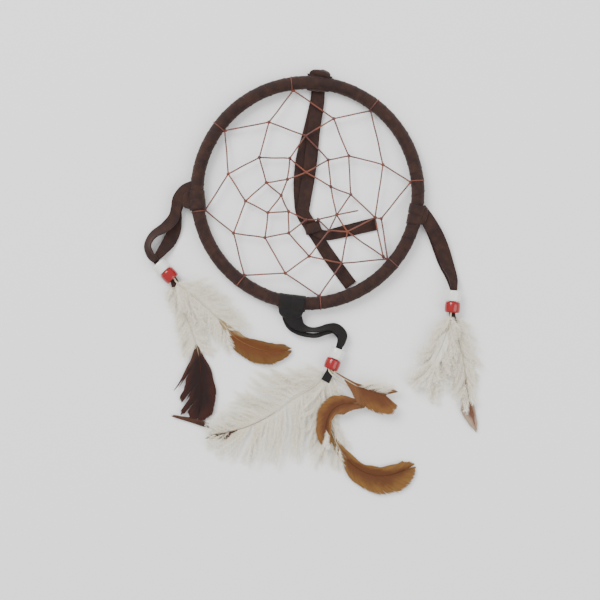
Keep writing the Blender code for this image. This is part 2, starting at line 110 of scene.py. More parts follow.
# Laces, each a list of ((x, y, height), width, roll in degrees, curl across its width)
HANGER_LACES = {
    "hanger_lace_left": (
        ((6.2, 60.0, 1.45), 7.5, 0, 0.0), ((5.0, 52, 0.8), 7.5, 0, 0.1), ((1.2, 36, 0.7), 7.5, 0, 0.1),
        ((-2.8, 21, 0.65), 7.5, 0, 0.1), ((-4.3, 7, 0.65), 7.5, 0, 0.1), ((-4.0, -4, 0.65), 7.5, 0, 0.1),
        ((-3.0, -11.2, 0.7), 7.4, 0, 0.0), ((1.2, -18.6, 0.7), 7.0, 0, 0.0), ((6.2, -26.2, 0.7), 7.0, 0, 0.0),
        ((10.3, -32.8, 0.65), 7.4, 0, 0.1), ((15.2, -39.8, 0.65), 7.5, 0, 0.1), ((25.2, -53.2, 0.65), 7.5, 0, 0.1)),
    "hanger_lace_right": (
        ((6.5, 59.6, 2.6), 7.0, 0, 0.0), ((6.0, 52, 2.0), 7.4, 0, 0.1), ((3.6, 36, 1.9), 7.4, 0, 0.1),
        ((2.1, 20, 1.9), 7.4, 0, 0.1), ((0.3, 7, 1.9), 7.4, 0, 0.1), ((-1.6, -4, 1.9), 7.2, 0, 0.1),
        ((-2.2, -11.2, 1.95), 7.0, 0, 0.0), ((1.6, -17.4, 2.0), 6.4, 0, 0.0), ((6.0, -22.6, 1.95), 5.6, 0, 0.0),
        ((11.0, -24.2, 1.2), 5.8, 0, 0.1), ((16.0, -23.2, 0.7), 6.6, 0, 0.2), ((22.4, -21.7, 0.65), 7.0, 0, 0.3),
        ((40, -17.4, 0.65), 7.5, 0, 0.2)),
}
PENDANT_LACES = {
    "left_lace_inner": (
        ((-68.4, -1.6, 4.2), 7.0, 0, 0.3), ((-73.2, -4.0, 4.2), 7.0, 0, 0.3), ((-75.2, -9.4, 3.8), 5.6, 0, 0.4),
        ((-75.7, -14.8, 2.8), 6.2, -6, 0.4), ((-76.8, -21.0, 1.6), 7.2, -8, 0.4),
        ((-80.0, -27.8, 1.2), 7.6, -8, 0.5), ((-84.2, -33.8, 2.2), 5.8, 8, 0.8),
        ((-87.4, -38.6, 3.9), 3.6, 0, 0.9)),
    "left_lace_outer": (
        ((-65.4, 3.8, 6.4), 7.0, 0, 0.1), ((-70.2, 0.8, 6.9), 8.4, 0, -0.4), ((-74.2, -3.8, 6.3), 7.4, 0, -0.3),
        ((-75.9, -9.2, 5.4), 5.8, 0, 0.2), ((-77.3, -14.4, 4.8), 6.4, 8, 0.3), ((-82.2, -19.8, 3.9), 6.8, 28, 0.4),
        ((-88.9, -24.4, 3.3), 6.8, 46, 0.5), ((-91.9, -30.0, 3.4), 6.6, 50, 0.6),
        ((-90.2, -35.4, 4.4), 5.2, 30, 0.8), ((-87.4, -39.2, 5.1), 3.6, 0, 0.9)),
    "bottom_lace_front": (
        ((-8.9, -68.8, 6.3), 10.5, 0, -0.6), ((-8.0, -71.6, 5.9), 10.2, 0, -0.5), ((-6.2, -74.6, 5.0), 8.4, -10, 0.2),
        ((-3.0, -77.6, 3.9), 6.0, -40, 0.3), ((1.4, -79.0, 3.3), 5.2, -60, 0.3), ((6.4, -79.0, 3.2), 5.2, -58, 0.3),
        ((11.6, -77.6, 3.2), 5.2, -48, 0.3), ((16.4, -77.8, 3.5), 5.4, -26, 0.3), ((20.2, -81.4, 4.1), 5.2, -4, 0.4),
        ((19.8, -85.2, 4.6), 4.8, 0, 0.6), ((18.3, -88.8, 4.9), 3.8, 0, 0.9)),
    "bottom_lace_back": (
        ((-10.0, -68.8, 4.6), 9.0, 0, 0.2), ((-10.0, -71.6, 4.2), 9.0, 0, 0.3), ((-8.6, -76.0, 3.2), 7.6, -10, 0.3),
        ((-5.4, -79.8, 2.8), 5.8, -44, 0.3), ((-0.4, -82.0, 2.4), 5.0, -64, 0.2), ((5.4, -82.4, 2.4), 4.8, -64, 0.2),
        ((11.0, -80.5, 2.4), 4.8, -60, 0.2), ((15.4, -79.8, 2.4), 4.8, -50, 0.3), ((19.2, -83.0, 2.8), 4.6, -16, 0.5),
        ((18.6, -88.4, 3.9), 3.6, 0, 0.9)),
    "right_lace_front": (
        ((65.0, -8.8, 5.9), 6.6, 0, 0.1), ((68.4, -13.6, 5.9), 7.0, 0, 0.2), ((71.6, -18.9, 5.4), 7.6, 0, 0.3), ((75.3, -25.6, 3.8), 8.0, 6, 0.3),
        ((78.6, -33.5, 2.5), 7.8, 8, 0.4), ((81.0, -40.9, 2.4), 7.2, -4, 0.4), ((83.6, -48.4, 3.4), 5.8, -24, 0.7),
        ((84.5, -54.7, 5.0), 3.8, 0, 0.9)),
    "right_lace_back": (
        ((64.6, -9.0, 4.4), 6.6, 0, 0.1), ((67.8, -13.8, 4.4), 7.0, 0, 0.2), ((70.9, -18.9, 3.9), 7.4, 0, 0.2), ((74.3, -25.6, 2.1), 8.0, 0, 0.2),
        ((77.2, -33.5, 0.9), 7.8, 0, 0.2), ((79.8, -40.9, 0.9), 7.2, 4, 0.2), ((82.8, -48.4, 2.0), 5.5, 16, 0.7),
        ((84.4, -56.4, 4.0), 3.6, 0, 0.9)),
}
# The lace that runs on through the beads of each pendant, and its cut end below them
LACE_ENDS = {
    "left": ("left_lace_inner", ((-77.0, -50.6, 4.35), 4.2), ((-76.0, -53.8, 4.1), 4.6)),
    "bottom": ("bottom_lace_front", ((12.6, -103.9, 4.3), 4.6), ((10.2, -108.6, 4.0), 5.2)),
    "right": ("right_lace_front", ((83.6, -71.4, 4.35), 3.6), ((85.2, -75.2, 4.1), 3.2)),
}

# Feathers. The shaft is a list of (x, y, height). Vane and down rows are (side, stations), with side 1 on
# the left of the way to the tip, and each station (distance along the shaft, barb length there,
# angle from the shaft, bend towards the tip).
FEATHERS = {
    "left_feather_dark": {
        "pendant": "left", "side": -1, "level": -1, "finish": "dark",
        "shaft": ((-77.4, -52.4, 2.9), (-73.4, -64, 1.6), (-66.6, -81, 1.4), (-63, -93.4, 1.6),
                  (-61.2, -108, 1.8), (-61.4, -119, 1.6), (-63, -128, 1.2)),
        "vane": ((1, ((41, 5, 22, 8), (47, 11, 36, 10), (58, 15, 38, 10), (70, 14, 34, 10), (77, 9, 22, 6),
                      (82, 4, 8, 2))),
                 (-1, ((41, 8, 34, 6), (44, 20, 44, 4), (49, 25, 48, 4), (49.6, 15, 44, 6), (54, 17, 44, 6),
                       (54.6, 21, 44, 6), (60, 20, 44, 6), (60.6, 14, 40, 8), (64, 15, 40, 8), (64.6, 20, 44, 6),
                       (69, 19, 42, 6), (69.6, 14, 36, 6), (75, 12, 28, 6), (82, 4, 8, 2)))),
        "down": ((1, ((3, 9, 48, 14), (44, 12, 48, 14))), (-1, ((3, 9, 48, 14), (42, 13, 48, 14)))),
    },
    "left_feather_tan": {
        "pendant": "left", "side": 1, "level": 1, "finish": "tan",
        "shaft": ((-74.4, -52.4, 5.6), (-62, -62.5, 3.2), (-50.5, -73.8, 2.4), (-41, -84, 2.2),
                  (-28.5, -90, 2.2), (-17, -91.4, 2.1), (-10.4, -90.4, 2.0)),
        "vane": ((1, ((36, 3, 26, 8), (43, 9, 36, 8), (54, 13, 36, 10), (66, 13, 36, 14), (74, 9, 36, 18),
                      (77.5, 7, 24, 10), (80, 6, 6, 0))),
                 (-1, ((37, 3, 26, 8), (45, 9, 34, 8), (55, 14, 36, 8), (66, 13, 36, 14), (74, 9, 36, 18),
                       (77.5, 7, 24, 10), (80, 6, 6, 0)))),
        "down": ((1, ((4, 17, 50, 14), (44, 15, 46, 14))), (-1, ((4, 17, 50, 14), (46, 14, 46, 14)))),
    },
    "bottom_feather_plume": {
        "pendant": "bottom", "side": -1, "level": -1, "finish": "cream",
        "shaft": ((10.8, -104.6, 2.9), (3, -112, 1.8), (-8, -118.6, 1.6), (-20, -127.6, 1.6),
                  (-34, -134.7, 1.5), (-47, -138.4, 1.4), (-58, -140, 1.2)),
        "vane": ((-1, ((70, 26, 34, 6), (72, 34, 33, 6), (75, 32, 31, 6))), (1, ((66, 9, 26, 4), (79, 7, 16, 4)))),
        "down": ((1, ((4, 16, 68, 20), (14, 30, 66, 18), (28, 35, 62, 16), (46, 30, 56, 16), (64, 22, 50, 14),
                      (79, 9, 36, 8))),
                 (-1, ((4, 16, 70, 20), (24, 29, 62, 18), (56, 22, 54, 14), (79, 9, 38, 6)))),
    },
    "bottom_feather_curl": {
        "pendant": "bottom", "side": 1, "level": -1, "finish": "curl",
        "shaft": ((13.6, -106, 2.7), (12.4, -118, 1.5), (12.6, -133, 1.4), (16, -143, 1.5),
                  (20.5, -150.4, 1.7), (25.8, -156.8, 1.8), (33.4, -161.6, 1.8), (42, -163.4, 1.8),
                  (50, -162.4, 1.6), (57.6, -159.6, 1.4)),
        "vane": ((1, ((36, 4, 22, 0), (46, 7, 30, 0), (58, 11, 36, 0), (70, 15, 38, 0), (82, 13, 34, 0),
                      (88, 10, 26, 0), (92, 8, 6, 0))),
                 (-1, ((34, 4, 22, 6), (46, 8, 28, 8), (58, 13, 34, 10), (70, 17, 38, 12), (82, 15, 34, 12),
                       (88, 11, 26, 6), (92, 8, 6, 0)))),
        "down": ((1, ((6, 11, 50, 14), (44, 10, 46, 14))), (-1, ((6, 14, 54, 14), (24, 23, 56, 14), (40, 22, 48, 12), (49, 14, 36, 8)))),
    },
    "bottom_feather_short": {
        "pendant": "bottom", "side": -1, "level": 1, "finish": "arch",
        "shaft": ((14.8, -105.2, 5.9), (20.6, -109.6, 5.4), (28, -113.6, 5.2), (34.6, -115.6, 5.2),
                  (37.4, -118.2, 5.2), (34.4, -120.6, 5.4), (28, -121.0, 5.8), (20.4, -121.6, 6.0),
                  (14.6, -124.8, 5.8), (11.4, -130.6, 5.6), (10.4, -138, 5.2), (10.6, -147, 4.6)),
        "vane": ((1, ((36, 5, 24, -6), (42, 11, 32, -12), (54, 11, 32, -10), (68, 10, 26, 0), (77, 5, 10, 0))),
                 (-1, ((36, 5, 22, 6), (42, 12, 34, 20), (56, 11, 32, 16), (68, 10, 26, 8), (77, 5, 10, 4)))),
        "down": ((1, ((70, 7, 24, 4), (77, 6, 16, 4))), (-1, ((73, 6, 20, 4), (77, 6, 16, 4)))),
    },
    "bottom_feather_tan": {
        "pendant": "bottom", "side": 1, "level": 1, "finish": "arch",
        "shaft": ((17.0, -104.4, 6.4), (23.4, -108.2, 6.4), (30.0, -111.9, 6.3), (38.6, -114.6, 6.1),
                  (46, -116.6, 5.6)),
        "vane": ((1, ((4, 2.5, 14, 4), (14, 4, 20, 4), (20, 9, 36, 8), (30, 10, 38, 12), (36, 8, 30, 10))),
                 (-1, ((11, 2, 44, 4), (17, 12, 50, 6), (25, 17, 48, 10), (31, 16, 42, 14), (36, 10, 30, 12)))),
        "down": ((1, ((20, 11, 54, 10), (36, 11, 44, 10))),),
    },
    "right_feather_inner": {
        "pendant": "right", "side": -1, "level": -1, "finish": "white",
        "shaft": ((82.2, -73.6, 2.8), (79, -88, 1.5), (76.0, -101, 1.3), (73.6, -113, 1.1), (74.2, -121, 1.0)),
        "vane": ((1, ((14, 8, 24, 8), (48, 5, 16, 8))), (-1, ((14, 8, 26, 8), (48, 5, 16, 8)))),
        "down": ((1, ((3, 9, 42, 12), (16, 14, 42, 12), (34, 13, 32, 10), (49, 7, 20, 8))),
                 (-1, ((3, 9, 42, 12), (16, 15, 44, 12), (34, 14, 34, 10), (49, 7, 20, 8)))),
    },
    "right_feather_long": {
        "pendant": "right", "side": 1, "level": -1, "finish": "mottled",
        "shaft": ((85.4, -74, 2.8), (89.0, -90, 1.5), (91.6, -105, 1.4), (94.0, -121, 1.4), (98.2, -138.5, 1.1)),
        "vane": ((-1, ((38, 9, 26, 8), (46, 14, 28, 8), (58, 10, 20, 6), (68, 4, 8, 2))),
                 (1, ((38, 7, 22, 6), (48, 9, 22, 6), (60, 7, 14, 4), (68, 3, 8, 2)))),
        "down": ((1, ((3, 11, 36, 12), (14, 16, 42, 12), (32, 13, 34, 10), (50, 8, 22, 6))),
                 (-1, ((3, 14, 42, 12), (14, 19, 46, 12), (30, 17, 42, 10), (52, 10, 28, 8)))),
    },
    "right_feather_soft": {
        "pendant": "right", "side": -1, "level": 1, "finish": "white",
        "shaft": ((81.4, -76, 5.2), (76.6, -90.5, 3.6), (69.6, -102, 3.2), (62.6, -107.6, 3.0), (57, -110, 2.8)),
        "vane": ((1, ((12, 8, 30, 8), (42, 6, 22, 8))), (-1, ((12, 8, 30, 8), (42, 6, 22, 8)))),
        "down": ((1, ((3, 10, 44, 12), (18, 17, 46, 12), (32, 14, 38, 10), (46, 7, 26, 8))),
                 (-1, ((3, 10, 44, 12), (18, 15, 46, 12), (32, 13, 38, 10), (46, 7, 26, 8)))),
    },
}


def linear(code):
    """An sRGB hex colour as linear red, green and blue."""
    shares = [int(code[i:i + 2], 16) / 255 for i in (1, 3, 5)]
    return [s / 12.92 if s <= 0.04045 else ((s + 0.055) / 1.055) ** 2.4 for s in shares]


class DreamCatcherSizes(bpy.types.PropertyGroup):
    """Sizes of the laces, thread, beads and feathers."""
    lace_width: bpy.props.FloatProperty(
        name="Lace width", description="Width of the lace wound round the ring",
        default=0.0082, unit="LENGTH", subtype="DISTANCE")
    lace_thickness: bpy.props.FloatProperty(
        name="Lace thickness", description="Thickness of the split suede",
        default=0.0009, unit="LENGTH", subtype="DISTANCE")
    wrap_pitch: bpy.props.FloatProperty(
        name="Wrap pitch", description="Distance along the ring from one turn of the lace to the next",
        default=0.0066, unit="LENGTH", subtype="DISTANCE")
    wrap_radius: bpy.props.FloatProperty(
        name="Wrap radius", description="Radius of the wound ring's tube under the overlaps",
        default=0.00385, unit="LENGTH", subtype="DISTANCE")
    thread_radius: bpy.props.FloatProperty(
        name="Thread radius", description="Mean radius of the web's thread",
        default=0.00043, unit="LENGTH", subtype="DISTANCE")
    thread_twist: bpy.props.FloatProperty(
        name="Thread twist", description="Length of one full turn of the thread's two plies",
        default=0.0026, unit="LENGTH", subtype="DISTANCE")
    bead_length: bpy.props.FloatProperty(
        name="Bead length", description="Length of one bead along its bore",
        default=0.0063, unit="LENGTH", subtype="DISTANCE")
    bead_radius: bpy.props.FloatProperty(
        name="Bead radius", description="Largest radius of a bead",
        default=0.00445, unit="LENGTH", subtype="DISTANCE")
    bore_radius: bpy.props.FloatProperty(
        name="Bore radius", description="Radius of a bead's bore",
        default=0.00225, unit="LENGTH", subtype="DISTANCE")
    barb_spacing: bpy.props.FloatProperty(
        name="Barb spacing", description="Distance along the shaft between the barbs of a closed vane",
        default=0.00034, unit="LENGTH", subtype="DISTANCE")
    down_spacing: bpy.props.FloatProperty(
        name="Down spacing", description="Distance along the shaft between the barbs of the down",
        default=0.00062, unit="LENGTH", subtype="DISTANCE")


class DreamCatcherColours(bpy.types.PropertyGroup):
    """Colours of the laces, thread, beads and feathers."""
    lace: bpy.props.FloatVectorProperty(
        name="Lace", description="Raised nap of the brown suede", size=3, subtype="COLOR",
        default=linear("#3b2721"))
    lace_deep: bpy.props.FloatVectorProperty(
        name="Lace, pressed", description="Brown suede where its nap is pressed or damp", size=3,
        subtype="COLOR", default=linear("#241310"))
    black_lace: bpy.props.FloatVectorProperty(
        name="Dark lace", description="Raised nap of the near-black suede", size=3, subtype="COLOR",
        default=linear("#1f1c1b"))
    black_lace_deep: bpy.props.FloatVectorProperty(
        name="Dark lace, pressed", description="Near-black suede where its nap is pressed", size=3,
        subtype="COLOR", default=linear("#0e0c0e"))
    thread: bpy.props.FloatVectorProperty(
        name="Thread", description="Waxed thread of the web", size=3, subtype="COLOR",
        default=linear("#562b25"))
    thread_pale: bpy.props.FloatVectorProperty(
        name="Thread, rubbed", description="Waxed thread where its wax is rubbed off", size=3,
        subtype="COLOR", default=linear("#783f2b"))
    white_bead: bpy.props.FloatVectorProperty(
        name="White bead", description="Colour of the white beads", size=3, subtype="COLOR",
        default=linear("#e6e8e3"))
    red_bead: bpy.props.FloatVectorProperty(
        name="Red bead", description="Colour of the red beads", size=3, subtype="COLOR",
        default=linear("#8f050b"))
    floor: bpy.props.FloatVectorProperty(
        name="Floor", description="Colour of the plain floor", size=3, subtype="COLOR",
        default=linear("#f4f4f4"))


def sizes():
    """The sizes that a user may change."""
    return bpy.context.scene.dream_catcher_sizes


def colours():
    """The colours that a user may change."""
    return bpy.context.scene.dream_catcher_colours


def metres(point):
    """A point given in ring millimetres, as a vector in metres in the frame."""
    return Vector((RING_CENTRE.x + point[0] * MM, RING_CENTRE.y + point[1] * MM, point[2] * MM))


def polar(radius, degrees, height=RING_HEIGHT):
    """A point in ring millimetres at a radius and an angle."""
    angle = math.radians(degrees)
    return Vector((radius * math.cos(angle), radius * math.sin(angle), height))


def ring_axes(degrees):
    """The directions outwards from the ring's centre and along the ring at an angle."""
    outward = polar(1, degrees, 0)
    return outward, Vector((-outward.y, outward.x, 0))


def smooth_path(stations, step):
    """Reads a smooth curve through stations of several numbers each, at about one point per step of length."""
    rows = [Vector(row) for row in stations]
    first = rows[0] * 2 - rows[1]
    last = rows[-1] * 2 - rows[-2]
    rows = [first] + rows + [last]
    path = []
    for before, start, end, after in zip(rows, rows[1:], rows[2:], rows[3:]):
        count = max(1, round((end - start).xyz.length / step))
        for i in range(count):
            t = i / count
            path.append(0.5 * (
                2 * start + (end - before) * t
                + (2 * before - 5 * start + 4 * end - after) * t ** 2
                + (3 * start - before - 3 * end + after) * t ** 3))
    path.append(rows[-2])
    return path


def add_node(tree, kind, settings=(), inputs=(), links=()):
    """Adds a node, sets its properties and its inputs' values, and links outputs to its inputs."""
    made = tree.nodes.new(kind)
    for key, value in dict(settings).items():
        setattr(made, key, value)
    for key, value in dict(inputs).items():
        made.inputs[key].default_value = value
    for key, source in dict(links).items():
        tree.links.new(source, made.inputs[key])
    return made


def new_material(name):
    """A material with a bare Principled shader: its tree, its shader and its Object coordinates."""
    made = bpy.data.materials.new(name)
    made.use_nodes = True
    tree = made.node_tree
    shader = tree.nodes["Principled BSDF"]
    place = add_node(tree, "ShaderNodeTexCoord").outputs["Object"]
    return made, tree, shader, place


def rgba(colour):
    """A linear colour with full alpha, as a socket takes it."""
    return (*colour, 1.0)


def suede(name, pale, deep):
    """Split suede lace: a short matt nap that brushes lighter and darker, pressed smooth in patches."""
    made, tree, shader, place = new_material(name)
    # Patches of brushed nap are about 5 mm across, and the nap's tufts 0.35 mm
    patches = add_node(tree, "ShaderNodeTexNoise", inputs={"Scale": 200, "Detail": 3, "Roughness": 0.6},
                       links={"Vector": place})
    contrast = add_node(tree, "ShaderNodeMapRange", inputs={"From Min": 0.38, "From Max": 0.66},
                        links={"Value": patches.outputs["Fac"]})
    nap = add_node(tree, "ShaderNodeTexNoise", inputs={"Scale": 2800, "Detail": 4, "Roughness": 0.7},
                   links={"Vector": place})
    brushed = add_node(tree, "ShaderNodeMix", {"data_type": "RGBA"}, {6: rgba(deep), 7: rgba(pale)},
                       {0: contrast.outputs["Result"]})
    tufts = add_node(tree, "ShaderNodeMapRange", inputs={"From Min": 0.35, "From Max": 0.7, "To Max": 0.35},
                     links={"Value": nap.outputs["Fac"]})
    mottled = add_node(tree, "ShaderNodeMix", {"data_type": "RGBA", "blend_type": "MULTIPLY"},
                       {7: (0.45, 0.4, 0.38, 1)},
                       {0: tufts.outputs["Result"], 6: brushed.outputs[2]})
    worn = add_node(tree, "ShaderNodeMapRange", inputs={"To Min": 0.72, "To Max": 0.95},
                    links={"Value": contrast.outputs["Result"]})
    relief = add_node(tree, "ShaderNodeBump", inputs={"Strength": 0.55, "Distance": 0.0002},
                      links={"Height": nap.outputs["Fac"]})
    tree.links.new(mottled.outputs[2], shader.inputs["Base Color"])
    tree.links.new(worn.outputs["Result"], shader.inputs["Roughness"])
    tree.links.new(relief.outputs["Normal"], shader.inputs["Normal"])
    shader.inputs["Sheen Weight"].default_value = 0.2
    shader.inputs["Sheen Roughness"].default_value = 0.45
    shader.inputs["Sheen Tint"].default_value = (0.75, 0.66, 0.62, 1)
    shader.inputs["Specular IOR Level"].default_value = 0.25
    return made


def waxed_thread(name, colour, rubbed):
    """Waxed polyester thread: a dull shine, paler where fingers rubbed the wax off."""
    made, tree, shader, place = new_material(name)
    # Rubbed stretches are about 9 mm long, and the fibres 0.15 mm
    rub = add_node(tree, "ShaderNodeTexNoise", inputs={"Scale": 110, "Detail": 2}, links={"Vector": place})
    share = add_node(tree, "ShaderNodeMapRange", inputs={"From Min": 0.42, "From Max": 0.66},
                     links={"Value": rub.outputs["Fac"]})
    mixed = add_node(tree, "ShaderNodeMix", {"data_type": "RGBA"}, {6: rgba(colour), 7: rgba(rubbed)},
                     {0: share.outputs["Result"]})
    fibres = add_node(tree, "ShaderNodeTexNoise", inputs={"Scale": 6500, "Detail": 2},
                      links={"Vector": place})
    gloss = add_node(tree, "ShaderNodeMapRange", inputs={"To Min": 0.42, "To Max": 0.66},
                     links={"Value": share.outputs["Result"]})
    relief = add_node(tree, "ShaderNodeBump", inputs={"Strength": 0.4, "Distance": 0.00008},
                      links={"Height": fibres.outputs["Fac"]})
    tree.links.new(mixed.outputs[2], shader.inputs["Base Color"])
    tree.links.new(gloss.outputs["Result"], shader.inputs["Roughness"])
    tree.links.new(relief.outputs["Normal"], shader.inputs["Normal"])
    return made


def moulded_polystyrene(name, colour):
    """Moulded polystyrene bead: a glossy skin with faint flow clouds and handling scuffs."""
    made, tree, shader, place = new_material(name)
    # Flow clouds are about 3 mm across, and scuffs 0.3 mm
    flow = add_node(tree, "ShaderNodeTexNoise", inputs={"Scale": 330, "Detail": 2, "Distortion": 1.2},
                    links={"Vector": place})
    shade = [share * 0.86 for share in colour]
    clouds = add_node(tree, "ShaderNodeMix", {"data_type": "RGBA"}, {6: rgba(shade), 7: rgba(colour)},
                      {0: flow.outputs["Fac"]})
    scuffs = add_node(tree, "ShaderNodeTexNoise", inputs={"Scale": 3300, "Detail": 5},
                      links={"Vector": place})
    gloss = add_node(tree, "ShaderNodeMapRange",
                     inputs={"From Min": 0.45, "From Max": 0.75, "To Min": 0.13, "To Max": 0.34},
                     links={"Value": scuffs.outputs["Fac"]})
    relief = add_node(tree, "ShaderNodeBump", inputs={"Strength": 0.08, "Distance": 0.0001},
                      links={"Height": scuffs.outputs["Fac"]})
    tree.links.new(clouds.outputs[2], shader.inputs["Base Color"])
    tree.links.new(gloss.outputs["Result"], shader.inputs["Roughness"])
    tree.links.new(relief.outputs["Normal"], shader.inputs["Normal"])
    shader.inputs["IOR"].default_value = 1.55
    return made


def drawn_steel(name):
    """Drawn mild steel wire: grey, with fine lines from the die and a thin brown oxide in patches."""
    made, tree, shader, place = new_material(name)
    oxide = add_node(tree, "ShaderNodeTexNoise", inputs={"Scale": 300, "Detail": 4}, links={"Vector": place})
    share = add_node(tree, "ShaderNodeMapRange", inputs={"From Min": 0.55, "From Max": 0.75, "To Max": 0.6},
                     links={"Value": oxide.outputs["Fac"]})
    mixed = add_node(tree, "ShaderNodeMix", {"data_type": "RGBA"},
                     {6: rgba(linear("#a7a5a0")), 7: rgba(linear("#5d4636"))}, {0: share.outputs["Result"]})
    gloss = add_node(tree, "ShaderNodeMapRange", inputs={"To Min": 0.28, "To Max": 0.6},
                     links={"Value": share.outputs["Result"]})
    tree.links.new(mixed.outputs[2], shader.inputs["Base Color"])
    tree.links.new(gloss.outputs["Result"], shader.inputs["Roughness"])
    shader.inputs["Metallic"].default_value = 1.0
    return made


def feather_keratin(name, middle, edge, base, sheen, streaks):
    """Feather keratin: fine lines along the barbs, another colour at the vane's edge and at its foot."""
    made, tree, shader, place = new_material(name)
    # The map runs along the shaft in x, and across the feather in y with the shaft at one half
    layout = add_node(tree, "ShaderNodeUVMap", {"uv_map": "Barbs"}).outputs["UV"]
    parts = add_node(tree, "ShaderNodeSeparateXYZ", links={"Vector": layout})
    away = add_node(tree, "ShaderNodeMath", {"operation": "SUBTRACT"}, {1: 0.5}, {0: parts.outputs["Y"]})
    reach = add_node(tree, "ShaderNodeMath", {"operation": "ABSOLUTE"}, links={0: away.outputs[0]})
    # A barb is about 0.3 mm wide: 250 of them along the shaft, each of nearly one tone for its length
    stretched = add_node(tree, "ShaderNodeMapping", inputs={"Scale": (240, 3, 1)}, links={"Vector": layout})
    lines = add_node(tree, "ShaderNodeTexNoise", inputs={"Scale": 1, "Detail": 2},
                     links={"Vector": stretched.outputs["Vector"]})
    waves = add_node(tree, "ShaderNodeTexNoise", inputs={"Scale": 160, "Detail": 2}, links={"Vector": place})
    wander = add_node(tree, "ShaderNodeMath", {"operation": "MULTIPLY_ADD"}, {1: 0.35},
                      {0: waves.outputs["Fac"], 2: reach.outputs[0]})
    rim = add_node(tree, "ShaderNodeMapRange", {"interpolation_type": "SMOOTHSTEP"},
                   {"From Min": 0.3, "From Max": 0.62}, {"Value": wander.outputs[0]})
    vane = add_node(tree, "ShaderNodeMix", {"data_type": "RGBA"}, {6: rgba(middle), 7: rgba(edge)},
                    {0: rim.outputs["Result"]})
    foot = add_node(tree, "ShaderNodeMath", {"operation": "MULTIPLY_ADD"}, {1: 0.2},
                    {0: waves.outputs["Fac"], 2: parts.outputs["X"]})
    fade = add_node(tree, "ShaderNodeMapRange", {"interpolation_type": "SMOOTHSTEP"},
                    {"From Min": 0.56, "From Max": 0.70}, {"Value": foot.outputs[0]})
    faded = add_node(tree, "ShaderNodeMix", {"data_type": "RGBA"}, {6: rgba(base)},
                     {0: fade.outputs["Result"], 7: vane.outputs[2]})
    tone = add_node(tree, "ShaderNodeMapRange", inputs={"From Min": 0.35, "From Max": 0.7, "To Max": streaks},
                    links={"Value": lines.outputs["Fac"]})
    lined = add_node(tree, "ShaderNodeMix", {"data_type": "RGBA", "blend_type": "MULTIPLY"},
                     {7: (0.55, 0.5, 0.45, 1)}, {0: tone.outputs["Result"], 6: faded.outputs[2]})
    gloss = add_node(tree, "ShaderNodeMapRange", inputs={"To Min": 0.45, "To Max": 0.65},
                     links={"Value": lines.outputs["Fac"]})
    tree.links.new(lined.outputs[2], shader.inputs["Base Color"])
    tree.links.new(gloss.outputs["Result"], shader.inputs["Roughness"])
    shader.inputs["Sheen Weight"].default_value = sheen
    shader.inputs["Sheen Roughness"].default_value = 0.4
    shader.inputs["Specular IOR Level"].default_value = 0.2
    return made


def mesh_object(name, points, faces, finishes, indices=None, layout=None, sharp=60.0):
    """A named object at the origin from points in metres, with its finishes and its own map."""
    mesh = bpy.data.meshes.new(name)
    mesh.from_pydata([tuple(point) for point in points], [], faces)
    for finish in finishes:
        mesh.materials.append(finish)
    if indices:
        mesh.polygons.foreach_set("material_index", indices)
    if layout:
        corners = mesh.uv_layers.new(name="Barbs")
        flat = []
        for loop in mesh.loops:
            flat.extend(layout[loop.vertex_index])
        corners.data.foreach_set("uv", flat)
    mesh.shade_smooth()
    mesh.set_sharp_from_angle(angle=math.radians(sharp))
    mesh.update()
    made = bpy.data.objects.new(name, mesh)
    bpy.context.scene.collection.objects.link(made)
    return made


def make_active(piece):
    """Selects one object and makes it the active one."""
    bpy.ops.object.select_all(action="DESELECT")
    piece.select_set(True)
    bpy.context.view_layer.objects.active = piece


def apply_modifiers(piece):
    """Applies an object's modifiers in order."""
    make_active(piece)
    for modifier in list(piece.modifiers):
        bpy.ops.object.modifier_apply(modifier=modifier.name)


def strip(path, normals, widths, curls, thickness, seed):
    """Points and faces of one flat lace with raw, slightly ragged edges, along a path in ring millimetres."""
    shares = (-1.0, -0.86, -0.5, 0.0, 0.5, 0.86, 1.0)
    fullness = {1.0: 0.5, 0.86: 0.95, 0.5: 1.0, 0.0: 1.0}
    loop = [(share, 1) for share in shares] + [(share, -1) for share in reversed(shares)]
    points = []
    faces = []
    for i, (centre, normal, width, curl) in enumerate(zip(path, normals, widths, curls)):
        ahead = (path[min(i + 1, len(path) - 1)] - path[max(i - 1, 0)]).normalized()
        side = ahead.cross(normal).normalized()
        upward = side.cross(ahead)
        for share, face in loop:
            ragged = 0.14 * noise.noise(Vector((i * 0.55, share * 9, seed))) * abs(share)
            swell = 0.09 * noise.noise(Vector((i * 0.22, share * 2.2, seed + 7)))
            across = side * (share * width / 2 + math.copysign(ragged, share))
            rise = curl * share ** 2 + face * thickness / 2 * fullness[abs(share)] + swell
            points.append(centre + across + upward * rise)
    count = len(loop)
    rings = len(path)
    for ring in range(rings - 1):
        for k in range(count):
            a = ring * count + k
            b = ring * count + (k + 1) % count
            faces.append((a, a + count, b + count, b))
    half = len(shares)
    for ring, order in ((0, 1), (rings - 1, -1)):
        for k in range(half - 1):
            base = ring * count
            quad = (base + k, base + k + 1, base + count - 2 - k, base + count - 1 - k)
            faces.append(quad[::order])
    return points, faces


def join_shapes(shapes):
    """Several (points, faces) shapes as one."""
    points = []
    faces = []
    for more_points, more_faces in shapes:
        start = len(points)
        points.extend(more_points)
        faces.extend(tuple(index + start for index in face) for face in more_faces)
    return points, faces


